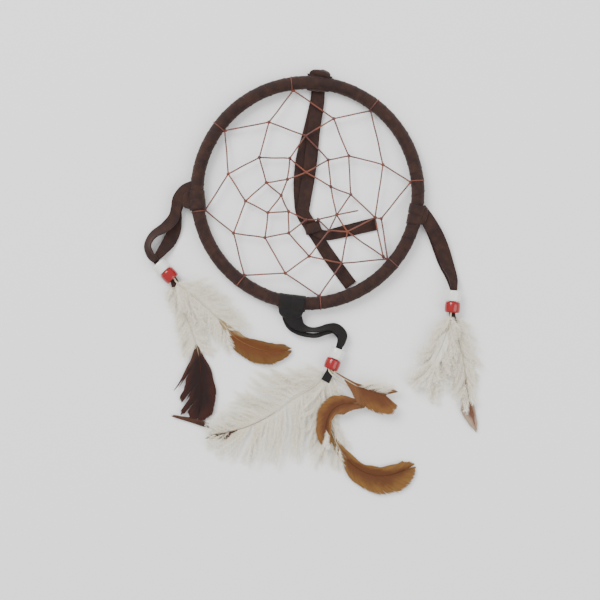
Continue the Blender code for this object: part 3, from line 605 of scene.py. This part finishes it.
def lace(name, route, finish, seed):
    """A free flat lace along a route of (point, width, roll, curl), made at its real length."""
    rows = smooth_path([(*point, width, roll, curl) for point, width, roll, curl in route], 0.7)
    path = [Vector(row[:3]) for row in rows]
    normals = []
    for i, row in enumerate(rows):
        ahead = (path[min(i + 1, len(path) - 1)] - path[max(i - 1, 0)]).normalized()
        side = ahead.cross(Vector((0, 0, 1))).normalized()
        upward = side.cross(ahead)
        normals.append(Matrix.Rotation(math.radians(row[4]), 3, ahead) @ upward)
    points, faces = strip(path, normals, [row[3] for row in rows], [row[5] for row in rows],
                          sizes().lace_thickness / MM, seed)
    for point in points:
        point.z = max(point.z, FLOOR_GAP)
    piece = mesh_object(name, [metres(point) for point in points], faces, [finish])
    return piece, [metres(point) for point in path]


def bead_axes(pendant):
    """The middle of a pendant's white bead, the direction towards its feathers, and the direction across."""
    (x, y), degrees = BEADS[pendant]
    toward = polar(1, degrees, 0)
    across = Vector((-toward.y, toward.x, 0))
    return Vector((x, y, sizes().bead_radius / MM)), toward, across


# Where each side pendant's laces stop following the ring and start following the pendant
SIDE_FLEX = {"left": ((-71.0, -2.4, 5.0), (-75.8, -10.2, 4.4)), "right": ((68.2, -13.4, 5.0), (72.4, -20.2, 4.4))}


def lay_lace(name, route, finish, body, seed, replaced=()):
    piece, path = lace(name + "_suede", route, finish, seed)
    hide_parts(*replaced)
    if name.split("_")[0] in SIDE_FLEX:
        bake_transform(piece)
    else:
        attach(piece, body)
    return piece


def band(centre, outward, along, offset, width, radius, start, end, seed):
    """One turn of flat lace round the ring's tube, from one angle to another, skewed a little."""
    count = 40
    path = []
    normals = []
    for i in range(count + 1):
        turn = math.radians(start + (end - start) * i / count)
        normal = outward * math.cos(turn) + Vector((0, 0, 1)) * math.sin(turn)
        drift = 0.5 * math.sin(turn + seed)
        path.append(centre + along * (offset + drift) + normal * radius)
        normals.append(normal)
    bulge = [0.12 * math.sin(7 * i / count + seed) for i in range(count + 1)]
    return strip(path, normals, [width] * (count + 1), bulge, 0.85, seed)


def bunch(centre, outward, along, half_length, inner, reach, seed):
    """The gathered bight of a hitch: a closed, creased roll of lace along the ring's outer side."""
    count, sides = 26, 36
    points = []
    for i in range(count + 1):
        share = 2 * i / count - 1
        full = math.sqrt(max(0.0, 1 - abs(share) ** 3.2))
        outer = inner + (reach - inner) * (0.35 + 0.65 * full)
        half_width = (outer - inner) / 2
        half_height = 3.7 * (0.7 + 0.3 * full)
        for k in range(sides):
            turn = 2 * math.pi * k / sides
            crease = 0.35 * abs(math.sin(1.5 * turn + 1.3 * share + seed)) + 0.25 * noise.noise(
                Vector((share * 2.2, turn * 1.3, seed)))
            grow = 0.82 + 0.5 * crease
            across = math.copysign(abs(math.cos(turn)) ** 0.85, math.cos(turn))
            points.append(centre + along * share * half_length
                          + outward * (inner + half_width + half_width * across * min(1.04, grow))
                          + Vector((0, 0, half_height * math.sin(turn) * grow)))
    faces = [tuple(range(sides))[::-1], tuple(range(count * sides, (count + 1) * sides))]
    for i in range(count):
        for k in range(sides):
            a = i * sides + k
            b = i * sides + (k + 1) % sides
            faces.append((a, b, b + sides, a + sides))
    return points, faces


def hitch_shape(name, degrees, length, reach, seed):
    """A lark's head on the ring: two turns of lace side by side, and the gathered bight outside them."""
    outward, along = ring_axes(degrees)
    centre = polar(RING_RADIUS, degrees)
    # The hanging lace goes behind the ring, so its turns stop short of the front
    start, end = (-196, 24) if name == "hanger_hitch" else (-172, 172)
    shapes = []
    for order in (-1, 1):
        shapes.append(band(centre, outward, along, order * length / 4, length / 2 + 0.3, 4.3 + 0.1 * order,
                           start, end, seed + order))
    shapes.append(bunch(centre + Vector((0, 0, -0.6)), outward, along, length / 2 - 0.3, 2.2, reach, seed))
    return join_shapes(shapes)


def ply_tube(path, radius, twist, depth=0.22, sides=10, start=0.0):
    """Points and faces of a tube along a path, its section waisted like two plies and turned with the twist."""
    points = []
    faces = []
    travelled = 0.0
    reference = Vector((0, 0, 1))
    for i, centre in enumerate(path):
        before = path[max(i - 1, 0)]
        after = path[min(i + 1, len(path) - 1)]
        ahead = (after - before).normalized()
        if i:
            travelled += (centre - before).length
        side = ahead.cross(reference)
        if side.length < 0.2:
            side = ahead.cross(Vector((1, 0, 0)))
        side.normalize()
        upward = side.cross(ahead)
        phase = start + 2 * math.pi * travelled / twist
        for k in range(sides):
            turn = 2 * math.pi * k / sides
            reach = radius * (1 + depth * math.cos(2 * (turn - phase)))
            points.append(centre + side * reach * math.cos(turn) + upward * reach * math.sin(turn))
    rings = len(path)
    for ring in range(rings - 1):
        for k in range(sides):
            a = ring * sides + k
            b = ring * sides + (k + 1) % sides
            faces.append((a, a + sides, b + sides, b))
    faces.append(tuple(range(sides)))
    faces.append(tuple(range((rings - 1) * sides, rings * sides))[::-1])
    return points, faces


def thread_path(points, step, slack):
    """A taut thread through its knots, with a small round bend at each and a slight waver between them."""
    path = []
    for start, end in zip(points, points[1:]):
        span = end - start
        count = max(2, round(span.length / step))
        side = span.cross(Vector((0, 0, 1))).normalized()
        for i in range(count):
            share = i / count
            waver = slack * noise.noise(start * 0.31 + span * share * 0.09) * math.sin(math.pi * share)
            path.append(start + span * share + side * waver)
    path.append(points[-1])
    rounded = list(path)
    for _ in range(2):
        rounded = [rounded[0]] + [
            (a + b * 2 + c) / 4 for a, b, c in zip(rounded, rounded[1:], rounded[2:])] + [rounded[-1]]
    return rounded


class Barbs:
    """Collects thin closed blades and spikes, the barbs and barbules of one feather, in ring millimetres."""

    def __init__(self):
        self.points = []
        self.faces = []
        self.layout = []
        self.finishes = []

    def blade(self, line, widths, height, chart, finish, roll=0.0):
        """A tapered blade with a three-sided section along a line, closed at its foot and its tip."""
        start = len(self.points)
        last = len(line) - 1
        for i in range(last):
            ahead = (line[i + 1] - line[max(i - 1, 0)]).normalized()
            side = ahead.cross(Vector((0, 0, 1))).normalized()
            upward = side.cross(ahead)
            if roll:
                side = side * math.cos(roll) + upward * math.sin(roll)
                upward = side.cross(ahead)
            half = widths[i] / 2
            self.points += [line[i] - side * half, line[i] + side * half, line[i] + upward * height]
            self.layout += [chart[i]] * 3
        self.points.append(line[last])
        self.layout.append(chart[last])
        tip = start + 3 * last
        faces = [(start, start + 1, start + 2)]
        for i in range(last - 1):
            base = start + 3 * i
            for k in range(3):
                a = base + k
                b = base + (k + 1) % 3
                faces.append((a, a + 3, b + 3, b))
        base = start + 3 * (last - 1)
        for k in range(3):
            faces.append((base + k, tip, base + (k + 1) % 3))
        self.faces += faces
        self.finishes += [finish] * len(faces)

    def object(self, name, finishes):
        """The collected blades as one object."""
        for point in self.points:
            point.z = max(point.z, FLOOR_GAP)
        points = [metres(point) for point in self.points]
        return mesh_object(name, points, self.faces, finishes, self.finishes, self.layout, sharp=75.0)


class Shaft:
    """A feather's shaft: a smooth line that is read at a distance from its foot."""

    def __init__(self, route):
        self.line = smooth_path(route, 0.5)
        self.reached = [0.0]
        for a, b in zip(self.line, self.line[1:]):
            self.reached.append(self.reached[-1] + (b - a).length)
        self.length = self.reached[-1]

    def at(self, distance):
        """The point at a distance, and the heading there as an angle in the plan."""
        index = 1
        while index < len(self.line) - 1 and self.reached[index] < distance:
            index += 1
        a, b = self.line[index - 1], self.line[index]
        share = (distance - self.reached[index - 1]) / max(1e-6, self.reached[index] - self.reached[index - 1])
        return a.lerp(b, min(1.0, max(0.0, share))), math.atan2(b.y - a.y, b.x - a.x)


def barb_line(foot, heading, side, angle, bend, length, count, lift, wave, phase):
    """The points of one barb: it leaves the shaft at an angle, bends towards the tip and may wave."""
    line = [foot.copy()]
    point = foot.copy()
    stride = length / count
    for i in range(count):
        share = (i + 0.5) / count
        turn = heading + side * (angle - bend * share) + wave * math.sin(5.0 * share + phase) * share
        point = point + Vector((math.cos(turn), math.sin(turn), 0)) * stride
        line.append(Vector((point.x, point.y, foot.z + lift * math.sin(math.pi * 0.62 * share))))
    return line


def row_at(stations, distance):
    """The barb length, angle and bend of a row at a distance along the shaft."""
    for before, after in zip(stations, stations[1:]):
        if distance <= after[0]:
            share = max(0.0, (distance - before[0]) / (after[0] - before[0]))
            return [a + (b - a) * share for a, b in zip(before[1:], after[1:])]
    return list(stations[-1][1:])


def add_vane(barbs, shaft, row, rng, finish):
    """The closed vane on one side of the shaft: flat barbs laid edge over edge, in a few loose tufts."""
    side, stations = row
    distance = stations[0][0]
    tuft_end = distance
    tuft_angle = 0.0
    tuft_length = 1.0
    while distance < min(stations[-1][0], shaft.length - 0.3):
        if distance >= tuft_end:
            tuft_end = distance + rng.uniform(3.0, 7.0)
            tuft_angle = rng.uniform(-1.0, 1.0)
            tuft_length = rng.uniform(0.97, 1.03)
        length, degrees, bend = row_at(stations, distance)
        length *= tuft_length * rng.uniform(0.97, 1.02)
        foot, heading = shaft.at(distance)
        angle = math.radians(degrees + tuft_angle + rng.uniform(-0.6, 0.6))
        count = max(5, round(length / 1.5))
        line = barb_line(foot, heading, side, angle, math.radians(bend), length, count,
                         rng.uniform(0.35, 0.6), 0.02, rng.uniform(0, 6))
        widths = [0.82 * (1 - 0.6 * (i / count) ** 5) for i in range(count)]
        chart = [(distance / shaft.length, 0.5 + side * 0.5 * i / count) for i in range(count + 1)]
        barbs.blade(line, widths, 0.09, chart, finish)
        distance += sizes().barb_spacing / MM * rng.uniform(0.85, 1.15)


def add_down(barbs, shaft, row, rng, finish):
    """The down on one side of the shaft: long soft barbs, each with barbules along both of its sides."""
    side, stations = row
    distance = stations[0][0]
    clump = 0.0
    clump_end = distance
    while distance < min(stations[-1][0], shaft.length - 0.2):
        if distance >= clump_end:
            clump_end = distance + rng.uniform(2.0, 4.5)
            clump = rng.uniform(-13, 13)
        length, degrees, bend = row_at(stations, distance)
        length *= rng.uniform(0.72, 1.08)
        foot, heading = shaft.at(distance)
        angle = math.radians(degrees + clump + rng.uniform(-7, 7))
        count = max(6, round(length / 1.3))
        line = barb_line(foot, heading, side, angle, math.radians(bend + rng.uniform(-14, 14)), length, count,
                         rng.uniform(-0.9, 3.2), rng.uniform(0.1, 0.45), rng.uniform(0, 6))
        widths = [0.2 * (1 - 0.7 * i / count) for i in range(count)]
        chart = [(distance / shaft.length, 0.5 + side * 0.5 * i / count) for i in range(count + 1)]
        barbs.blade(line, widths, 0.1, chart, finish)
        for i in range(1, count):
            ahead = line[i + 1] - line[i]
            spread = 2.1 * min(1.0, 0.5 + 0.9 * math.sin(math.pi * i / count))
            for part in (0.0, 0.5):
                root = line[i] + ahead * part
                for hand in (-1, 1):
                    turn = math.atan2(ahead.y, ahead.x) + hand * rng.uniform(0.45, 1.15)
                    reach = spread * rng.uniform(0.6, 1.15)
                    tip = root + Vector((math.cos(turn), math.sin(turn), rng.uniform(-0.35, 0.45))) * reach
                    middle = root.lerp(tip, 0.55) + Vector((0, 0, rng.uniform(-0.1, 0.15)))
                    barbs.blade([root, middle, tip], [0.2, 0.16], 0.06, [chart[i]] * 3, finish)
        distance += sizes().down_spacing / MM * rng.uniform(0.7, 1.3)


def add_quill(barbs, shaft, finish):
    """The shaft itself: a bare quill in the bead that thins to a hair at the feather's tip."""
    count = round(shaft.length / 1.5)
    line = []
    chart = []
    for i in range(count + 1):
        point, _ = shaft.at(shaft.length * i / count)
        line.append(point + Vector((0, 0, 0.12)))
        chart.append((i / count, 0.5))
    widths = [0.95 * (1 - 0.86 * i / count) for i in range(count)]
    barbs.blade(line, widths, 0.34, chart, finish)
    under = [point - Vector((0, 0, 0.02)) for point in line]
    barbs.blade(under, widths, -0.3, chart, finish)


def add_feather(name, finishes):
    """One feather: its quill, its down and its vane, on the pendant whose beads hold it."""
    facts = FEATHERS[name]
    white, toward, across = bead_axes(facts["pendant"])
    mouth = white + toward * (sizes().bead_length / MM * 1.5 + 0.3)
    offset = across * facts["side"] * 0.8 + Vector((0, 0, facts["level"] * 1.35))
    shaft = Shaft([mouth - toward * 1.2 + offset, mouth + toward * 0.6 + offset, *facts["shaft"]])
    rng = random.Random(name)
    barbs = Barbs()
    add_quill(barbs, shaft, 0)
    for row in facts["down"]:
        add_down(barbs, shaft, row, rng, 1)
    for row in facts["vane"]:
        add_vane(barbs, shaft, row, rng, 2)
    piece = barbs.object(name + "_barbs", finishes)
    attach(piece, facts["pendant"] + "_pendant")
    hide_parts(name)
    return piece


class DREAMCATCHER_OT_stage(bpy.types.Operator):
    """Add the pale floor, the soft lights and the camera above the dream catcher"""
    bl_idname = "dream_catcher.stage"
    bl_label = "Stage"

    def execute(self, context):
        bpy.ops.object.select_all(action="DESELECT")
        bpy.ops.mesh.primitive_plane_add(size=6.0, location=(0, 0, 0))
        floor = context.active_object
        floor.name = "floor"
        made, tree, shader, place = new_material("matt_painted_board")
        grain = add_node(tree, "ShaderNodeTexNoise", inputs={"Scale": 700, "Detail": 2},
                         links={"Vector": place})
        relief = add_node(tree, "ShaderNodeBump", inputs={"Strength": 0.05, "Distance": 0.0002},
                          links={"Height": grain.outputs["Fac"]})
        tree.links.new(relief.outputs["Normal"], shader.inputs["Normal"])
        shader.inputs["Base Color"].default_value = rgba(colours().floor)
        shader.inputs["Roughness"].default_value = 0.8
        floor.data.materials.append(made)

        world = context.scene.world or bpy.data.worlds.new("studio")
        context.scene.world = world
        world.use_nodes = True
        sky = world.node_tree.nodes["Background"]
        sky.inputs["Color"].default_value = (1, 1, 1, 1)
        sky.inputs["Strength"].default_value = 0.95
        for name, place, size, power in (
                ("key_light", (-0.75, 0.85, 1.25), 0.9, 27.0), ("fill_light", (0.95, -0.3, 1.1), 1.1, 10.0)):
            lamp = bpy.data.lights.new(name, "AREA")
            lamp.size = size
            lamp.energy = power
            holder = bpy.data.objects.new(name, lamp)
            holder.location = place
            holder.rotation_euler = (-Vector(place)).to_track_quat("-Z", "Y").to_euler()
            context.scene.collection.objects.link(holder)

        lens = bpy.data.cameras.new("camera")
        lens.lens = 85
        lens.sensor_width = 36
        camera = bpy.data.objects.new("camera", lens)
        camera.location = metres((-4.3, -61.7, RING_HEIGHT + 817))
        context.scene.collection.objects.link(camera)
        context.scene.camera = camera
        return {"FINISHED"}


class DREAMCATCHER_OT_hanging_lace(bpy.types.Operator):
    """Add the hanging lace: two strands, the flat knot and the cut tails"""
    bl_idname = "dream_catcher.hanging_lace"
    bl_label = "Hanging lace"

    def execute(self, context):
        finish = suede("brown_suede_lace", colours().lace, colours().lace_deep)
        diagonal = Vector((math.cos(math.radians(-53)), math.sin(math.radians(-53)), 0))
        across = Vector((-diagonal.y, diagonal.x, 0))
        centre = Vector((3.0, -19.9, 0))
        section = ((-4.0, 0.9), (-3.9, 1.8), (-3.0, 2.6), (-1.2, 2.95), (1.2, 3.0), (3.1, 2.6), (4.0, 1.8), (4.1, 0.9))
        path = [Vector(row) for row in smooth_path(
            [centre + across * x + diagonal * x * 0.35 + Vector((0, 0, z)) for x, z in section], 0.5)]
        middle = centre + Vector((0, 0, 1.2))
        normals = [(point - middle).normalized() for point in path]
        turn = strip(path, normals, [6.0] * len(path), [0.15] * len(path), 0.8, 21)
        knot = mesh_object("hanger_knot_suede", [metres(point) for point in turn[0]], turn[1], [finish])
        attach(knot, "hanger")
        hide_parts("hanger_knot")
        lay_lace("hanger_lace_left", HANGER_LACES["hanger_lace_left"], finish, "hanger", 1,
                 ["hanger_strand_left", "hanger_tail_lower"])
        lay_lace("hanger_lace_right", HANGER_LACES["hanger_lace_right"], finish, "hanger", 2,
                 ["hanger_strand_right", "hanger_tail_upper"])
        return {"FINISHED"}


class DREAMCATCHER_OT_pendant_laces(bpy.types.Operator):
    """Add the two laces of each pendant, one of them run through both of its beads"""
    bl_idname = "dream_catcher.pendant_laces"
    bl_label = "Pendant laces"

    def execute(self, context):
        brown = suede("brown_suede_lace", colours().lace, colours().lace_deep)
        black = suede("black_suede_lace", colours().black_lace, colours().black_lace_deep)
        through = {}
        for pendant, (name, bend, end) in LACE_ENDS.items():
            white, toward, _ = bead_axes(pendant)
            red = white + toward * (sizes().bead_length / MM + 0.3)
            through[name] = (
                (white, 3.4, 0, 1.3), (red, 3.4, 0, 1.3), (*bend, 0, 0.6), (*end, 0, 0.3))
        for seed, (name, route) in enumerate(PENDANT_LACES.items(), start=11):
            pendant = name.split("_")[0]
            replaced = [name]
            if name in through:
                route = route + through[name]
                replaced.append(pendant + "_lace_end")
            lay_lace(name, route, black if pendant == "bottom" else brown, pendant + "_pendant", seed,
                     replaced)
        return {"FINISHED"}


class DREAMCATCHER_OT_ring(bpy.types.Operator):
    """Wind the suede lace round the ring and give the ring's wire its finish"""
    bl_idname = "dream_catcher.ring"
    bl_label = "Wrapped ring"

    def execute(self, context):
        steel = drawn_steel("drawn_steel_wire")
        for holder in bpy.data.objects["ring_core"].material_slots:
            holder.material = steel

        around = 2 * math.pi * RING_RADIUS * MM
        turns = math.ceil(around / sizes().wrap_pitch)
        pitch = around / turns
        half_width = sizes().lace_width / 2
        padded = CORE_WIRE_RADIUS * MM + 0.00005
        outer = sizes().wrap_radius
        # The lace's section: its leading edge lies on the wire, its trailing edge on the turn before
        bpy.ops.object.select_all(action="DESELECT")
        bpy.ops.mesh.primitive_circle_add(vertices=18, radius=1.0, fill_type="NOTHING")
        piece = context.active_object
        piece.name = "hoop_wrap_suede"
        for vertex in piece.data.vertices:
            x, y = vertex.co.x, vertex.co.y
            share = math.copysign(abs(x) ** 0.8, x)
            fullness = 0.5 + math.copysign(abs(y) ** 0.45, y) / 2
            climb = 0.5 - 0.5 * math.cos(math.pi * min(1.0, max(0.0, (-0.35 - share) / 0.4)))
            vertex.co = (half_width * share, 0.0,
                         padded + (outer - padded) * fullness + climb * fullness * 0.34 * sizes().lace_thickness)
        wind = piece.modifiers.new("wind", "SCREW")
        wind.axis = "X"
        wind.angle = 2 * math.pi
        wind.screw_offset = pitch
        wind.iterations = turns
        wind.steps = wind.render_steps = 26
        wind.use_smooth_shade = True
        wind.merge_threshold = 0.00001
        apply_modifiers(piece)
        bpy.ops.object.mode_set(mode="EDIT")
        bpy.ops.mesh.select_all(action="DESELECT")
        bpy.ops.mesh.select_mode(type="EDGE")
        bpy.ops.mesh.select_non_manifold()
        bpy.ops.mesh.edge_face_add()
        bpy.ops.mesh.select_all(action="SELECT")
        bpy.ops.mesh.normals_make_consistent(inside=False)
        bpy.ops.object.mode_set(mode="OBJECT")
        # Each turn wanders along the ring, and the whole winding is a little lumpy
        for label, direction, strength, scale in (
                ("wander", "X", 0.0024, 0.012), ("lumps", "NORMAL", 0.0003, 0.011), ("nap", "NORMAL", 0.0001, 0.0012)):
            cloud = bpy.data.textures.new(label, "CLOUDS")
            cloud.noise_scale = scale
            shift = piece.modifiers.new(label, "DISPLACE")
            shift.texture = cloud
            shift.texture_coords = "LOCAL"
            shift.direction = direction
            shift.strength = strength
            shift.mid_level = 0.5
        apply_modifiers(piece)
        low = min(vertex.co.x for vertex in piece.data.vertices)
        high = max(vertex.co.x for vertex in piece.data.vertices)
        bend = piece.modifiers.new("ring", "SIMPLE_DEFORM")
        bend.deform_method = "BEND"
        bend.deform_axis = "Z"
        bend.angle = (high - low) / (RING_RADIUS * MM)
        apply_modifiers(piece)
        bpy.ops.object.mode_set(mode="EDIT")
        bpy.ops.mesh.select_all(action="SELECT")
        # The bent lace's own centre lies one radius up the Y axis; its seam is turned under the bottom hitch
        bpy.ops.transform.translate(value=(0, -RING_RADIUS * MM, 0))
        bpy.ops.object.mode_set(mode="OBJECT")
        seam = math.radians(HITCHES["bottom_hitch"][0] + 90)
        piece.data.transform(Matrix.Translation(RING_CENTRE) @ Matrix.Rotation(seam, 4, "Z"))
        piece.data.materials.clear()
        piece.data.materials.append(suede("brown_suede_wrap", colours().lace, colours().lace_deep))
        make_active(piece)
        bpy.ops.object.shade_smooth_by_angle(angle=math.radians(50))
        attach(piece, "hoop")
        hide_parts("hoop_wrap")
        return {"FINISHED"}


class DREAMCATCHER_OT_web(bpy.types.Operator):
    """Knot the web from two-ply waxed thread and take it round the ring at its anchors"""
    bl_idname = "dream_catcher.web"
    bl_label = "Web"

    def execute(self, context):
        radius = sizes().thread_radius / MM
        twist = sizes().thread_twist / MM
        knots = {name: polar(*place) for name, place in WEB_KNOTS.items()}
        loop_radius = sizes().wrap_radius / MM + 0.12
        for number, degrees in enumerate(ANCHOR_ANGLES, start=1):
            knots[f"A{number}"] = polar(RING_RADIUS - loop_radius, degrees)
        shapes = []
        through = {}
        for chain in WEB_THREADS:
            names = chain.split()
            for before, name, after in zip(names, names[1:], names[2:]):
                through.setdefault(name, (knots[after] - knots[before]).normalized())
            for name, other in ((names[0], names[1]), (names[-1], names[-2])):
                through.setdefault(name, (knots[other] - knots[name]).normalized())
            shapes.append(ply_tube(thread_path([knots[name] for name in names], 0.5, 0.4), radius, twist))
        for number, degrees in enumerate(ANCHOR_ANGLES, start=1):
            outward, along = ring_axes(degrees)
            centre = polar(RING_RADIUS, degrees)
            path = []
            for i in range(61):
                share = i / 60
                turn = math.pi * (0.92 + 2.16 * share)
                path.append(centre + along * (share - 0.5) * 1.3
                            + (outward * math.cos(turn) + Vector((0, 0, 1)) * math.sin(turn)) * loop_radius)
            shapes.append(ply_tube(path, radius * 0.7, twist))
        for name, place in knots.items():
            if name == "TAIL":
                continue
            ahead = through[name]
            side = ahead.cross(Vector((0, 0, 1))).normalized()
            coils = 3 if name[0] != "A" else 4
            path = []
            for i in range(coils * 10 + 1):
                share = i / (coils * 10)
                turn = 2 * math.pi * coils * share + len(name)
                swell = 0.58 + 0.2 * math.sin(math.pi * share)
                path.append(place + ahead * (share - 0.5) * 0.5 * coils
                            + (side * math.cos(turn) + Vector((0, 0, 1)) * math.sin(turn)) * swell)
            shapes.append(ply_tube(path, 0.3, twist, depth=0.1, sides=6))
        points, faces = join_shapes(shapes)
        finish = waxed_thread("waxed_polyester_thread", colours().thread, colours().thread_pale)
        piece = mesh_object("web_thread", [metres(point) for point in points], faces, [finish])
        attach(piece, "hoop")
        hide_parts("web_net")
        return {"FINISHED"}


class DREAMCATCHER_OT_hitches(bpy.types.Operator):
    """Add the four hitches of lace on the ring"""
    bl_idname = "dream_catcher.hitches"
    bl_label = "Hitches"

    def execute(self, context):
        brown = suede("brown_suede_hitch", colours().lace, colours().lace_deep)
        black = suede("black_suede_hitch", colours().black_lace, colours().black_lace_deep)
        for seed, (name, (degrees, length, reach, body)) in enumerate(HITCHES.items(), start=31):
            points, faces = hitch_shape(name, degrees, length, reach, seed)
            for point in points:
                point.z = max(point.z, FLOOR_GAP)
            finish = black if name == "bottom_hitch" else brown
            piece = mesh_object(name + "_suede", [metres(point) for point in points], faces, [finish])
            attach(piece, body)
            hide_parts(name)
        return {"FINISHED"}


class DREAMCATCHER_OT_beads(bpy.types.Operator):
    """Turn the white and the red bead of each pendant"""
    bl_idname = "dream_catcher.beads"
    bl_label = "Beads"

    def execute(self, context):
        finishes = (
            ("white", moulded_polystyrene("white_moulded_polystyrene", colours().white_bead)),
            ("red", moulded_polystyrene("red_moulded_polystyrene", colours().red_bead)),
        )
        half_length = sizes().bead_length / 2
        half_wall = (sizes().bead_radius - sizes().bore_radius) / 2
        middle = (sizes().bead_radius + sizes().bore_radius) / 2
        bpy.ops.object.select_all(action="DESELECT")
        bpy.ops.mesh.primitive_circle_add(vertices=28, radius=1.0, fill_type="NOTHING")
        pattern = context.active_object
        for vertex in pattern.data.vertices:
            x, y = vertex.co.x, vertex.co.y
            share = math.copysign(abs(x) ** 0.42, x)
            wall = math.copysign(abs(y) ** 0.5, y)
            barrel = 0.09 * half_wall * 2 * share ** 2 if wall > 0 else 0.0
            vertex.co = (half_length * share, 0.0, middle + half_wall * wall - barrel)
        bpy.ops.object.mode_set(mode="EDIT")
        bpy.ops.mesh.select_all(action="SELECT")
        bpy.ops.mesh.spin(steps=72, angle=2 * math.pi, center=(0, 0, 0), axis=(1, 0, 0))
        bpy.ops.mesh.select_all(action="SELECT")
        bpy.ops.mesh.remove_doubles(threshold=0.00001)
        bpy.ops.mesh.normals_make_consistent(inside=False)
        bpy.ops.object.mode_set(mode="OBJECT")
        bpy.ops.object.shade_smooth_by_angle(angle=math.radians(50))
        for pendant in BEADS:
            white, toward, _ = bead_axes(pendant)
            heading = Matrix.Rotation(math.atan2(toward.y, toward.x), 4, "Z")
            for order, (colour, finish) in enumerate(finishes):
                name = f"{pendant}_{colour}_bead"
                centre = white + toward * order * (sizes().bead_length / MM + 0.3)
                mesh = pattern.data.copy()
                mesh.transform(Matrix.Translation(metres(centre)) @ heading)
                mesh.materials.append(finish)
                piece = bpy.data.objects.new(name + "_turned", mesh)
                context.scene.collection.objects.link(piece)
                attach(piece, pendant + "_pendant")
                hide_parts(name)
        bpy.data.objects.remove(pattern, do_unlink=True)
        return {"FINISHED"}


class DREAMCATCHER_OT_feathers(bpy.types.Operator):
    """Add the nine feathers of the three pendants"""
    bl_idname = "dream_catcher.feathers"
    bl_label = "Feathers"

    def execute(self, context):
        down = feather_keratin("down_keratin", linear("#ebe4d0"), linear("#f4f0e4"), linear("#ebe5d4"), 0.3, 0.15)
        # Colours of the vane along the shaft, at its edge and at its foot by the down, then of the quill
        vanes = {
            "dark": ("#1c0906", "#33140d", "#4a2c20", "#4a2614"),
            "tan": ("#5f3616", "#654620", "#94805a", "#86603a"),
            "curl": ("#573319", "#765327", "#7c5f38", "#5c3a1e"),
            "arch": ("#5a341c", "#765027", "#6a4629", "#5c3a20"),
            "mottled": ("#6a4434", "#a08a78", "#d2c9ba", "#8c7860"),
            "cream": ("#2e1810", "#4a2d20", "#a58d78", "#a08462"),
            "white": ("#efede4", "#f6f5f0", "#eceade", "#d8cfba"),
        }
        made = {}
        for name, shades in vanes.items():
            middle, edge, base, quill = [linear(shade) for shade in shades]
            made[name] = (
                feather_keratin(name + "_quill_keratin", quill, quill, linear("#cfc3a8"), 0.0, 0.2),
                down,
                feather_keratin(name + "_vane_keratin", middle, edge, base, 0.04, 0.5))
        for name, facts in FEATHERS.items():
            piece = add_feather(name, made[facts["finish"]])
        return {"FINISHED"}


PIECES = (
    DREAMCATCHER_OT_stage,
    DREAMCATCHER_OT_hanging_lace,
    DREAMCATCHER_OT_pendant_laces,
    DREAMCATCHER_OT_ring,
    DREAMCATCHER_OT_web,
    DREAMCATCHER_OT_hitches,
    DREAMCATCHER_OT_beads,
    DREAMCATCHER_OT_feathers,
)


class DREAMCATCHER_PT_panel(bpy.types.Panel):
    """The dream catcher's pieces, sizes and colours"""
    bl_idname = "DREAMCATCHER_PT_panel"
    bl_label = "Dream Catcher"
    bl_space_type = "VIEW_3D"
    bl_region_type = "UI"
    bl_category = "Dream Catcher"

    def draw(self, context):
        for piece in PIECES:
            self.layout.operator(piece.bl_idname)
        for group in (context.scene.dream_catcher_sizes, context.scene.dream_catcher_colours):
            box = self.layout.box()
            for name in group.__annotations__:
                box.prop(group, name)


CLASSES = (DreamCatcherSizes, DreamCatcherColours, *PIECES, DREAMCATCHER_PT_panel)


def register():
    for entry in CLASSES:
        bpy.utils.register_class(entry)
    bpy.types.Scene.dream_catcher_sizes = bpy.props.PointerProperty(type=DreamCatcherSizes)
    bpy.types.Scene.dream_catcher_colours = bpy.props.PointerProperty(type=DreamCatcherColours)


def unregister():
    del bpy.types.Scene.dream_catcher_colours
    del bpy.types.Scene.dream_catcher_sizes
    for entry in reversed(CLASSES):
        bpy.utils.unregister_class(entry)


def main():
    register()
    bpy.ops.dream_catcher.stage()
    bpy.ops.dream_catcher.hanging_lace()
    bpy.ops.dream_catcher.pendant_laces()
    bpy.ops.dream_catcher.ring()
    bpy.ops.dream_catcher.web()
    bpy.ops.dream_catcher.hitches()
    bpy.ops.dream_catcher.beads()
    bpy.ops.dream_catcher.feathers()


if __name__ == "__main__":
    main()
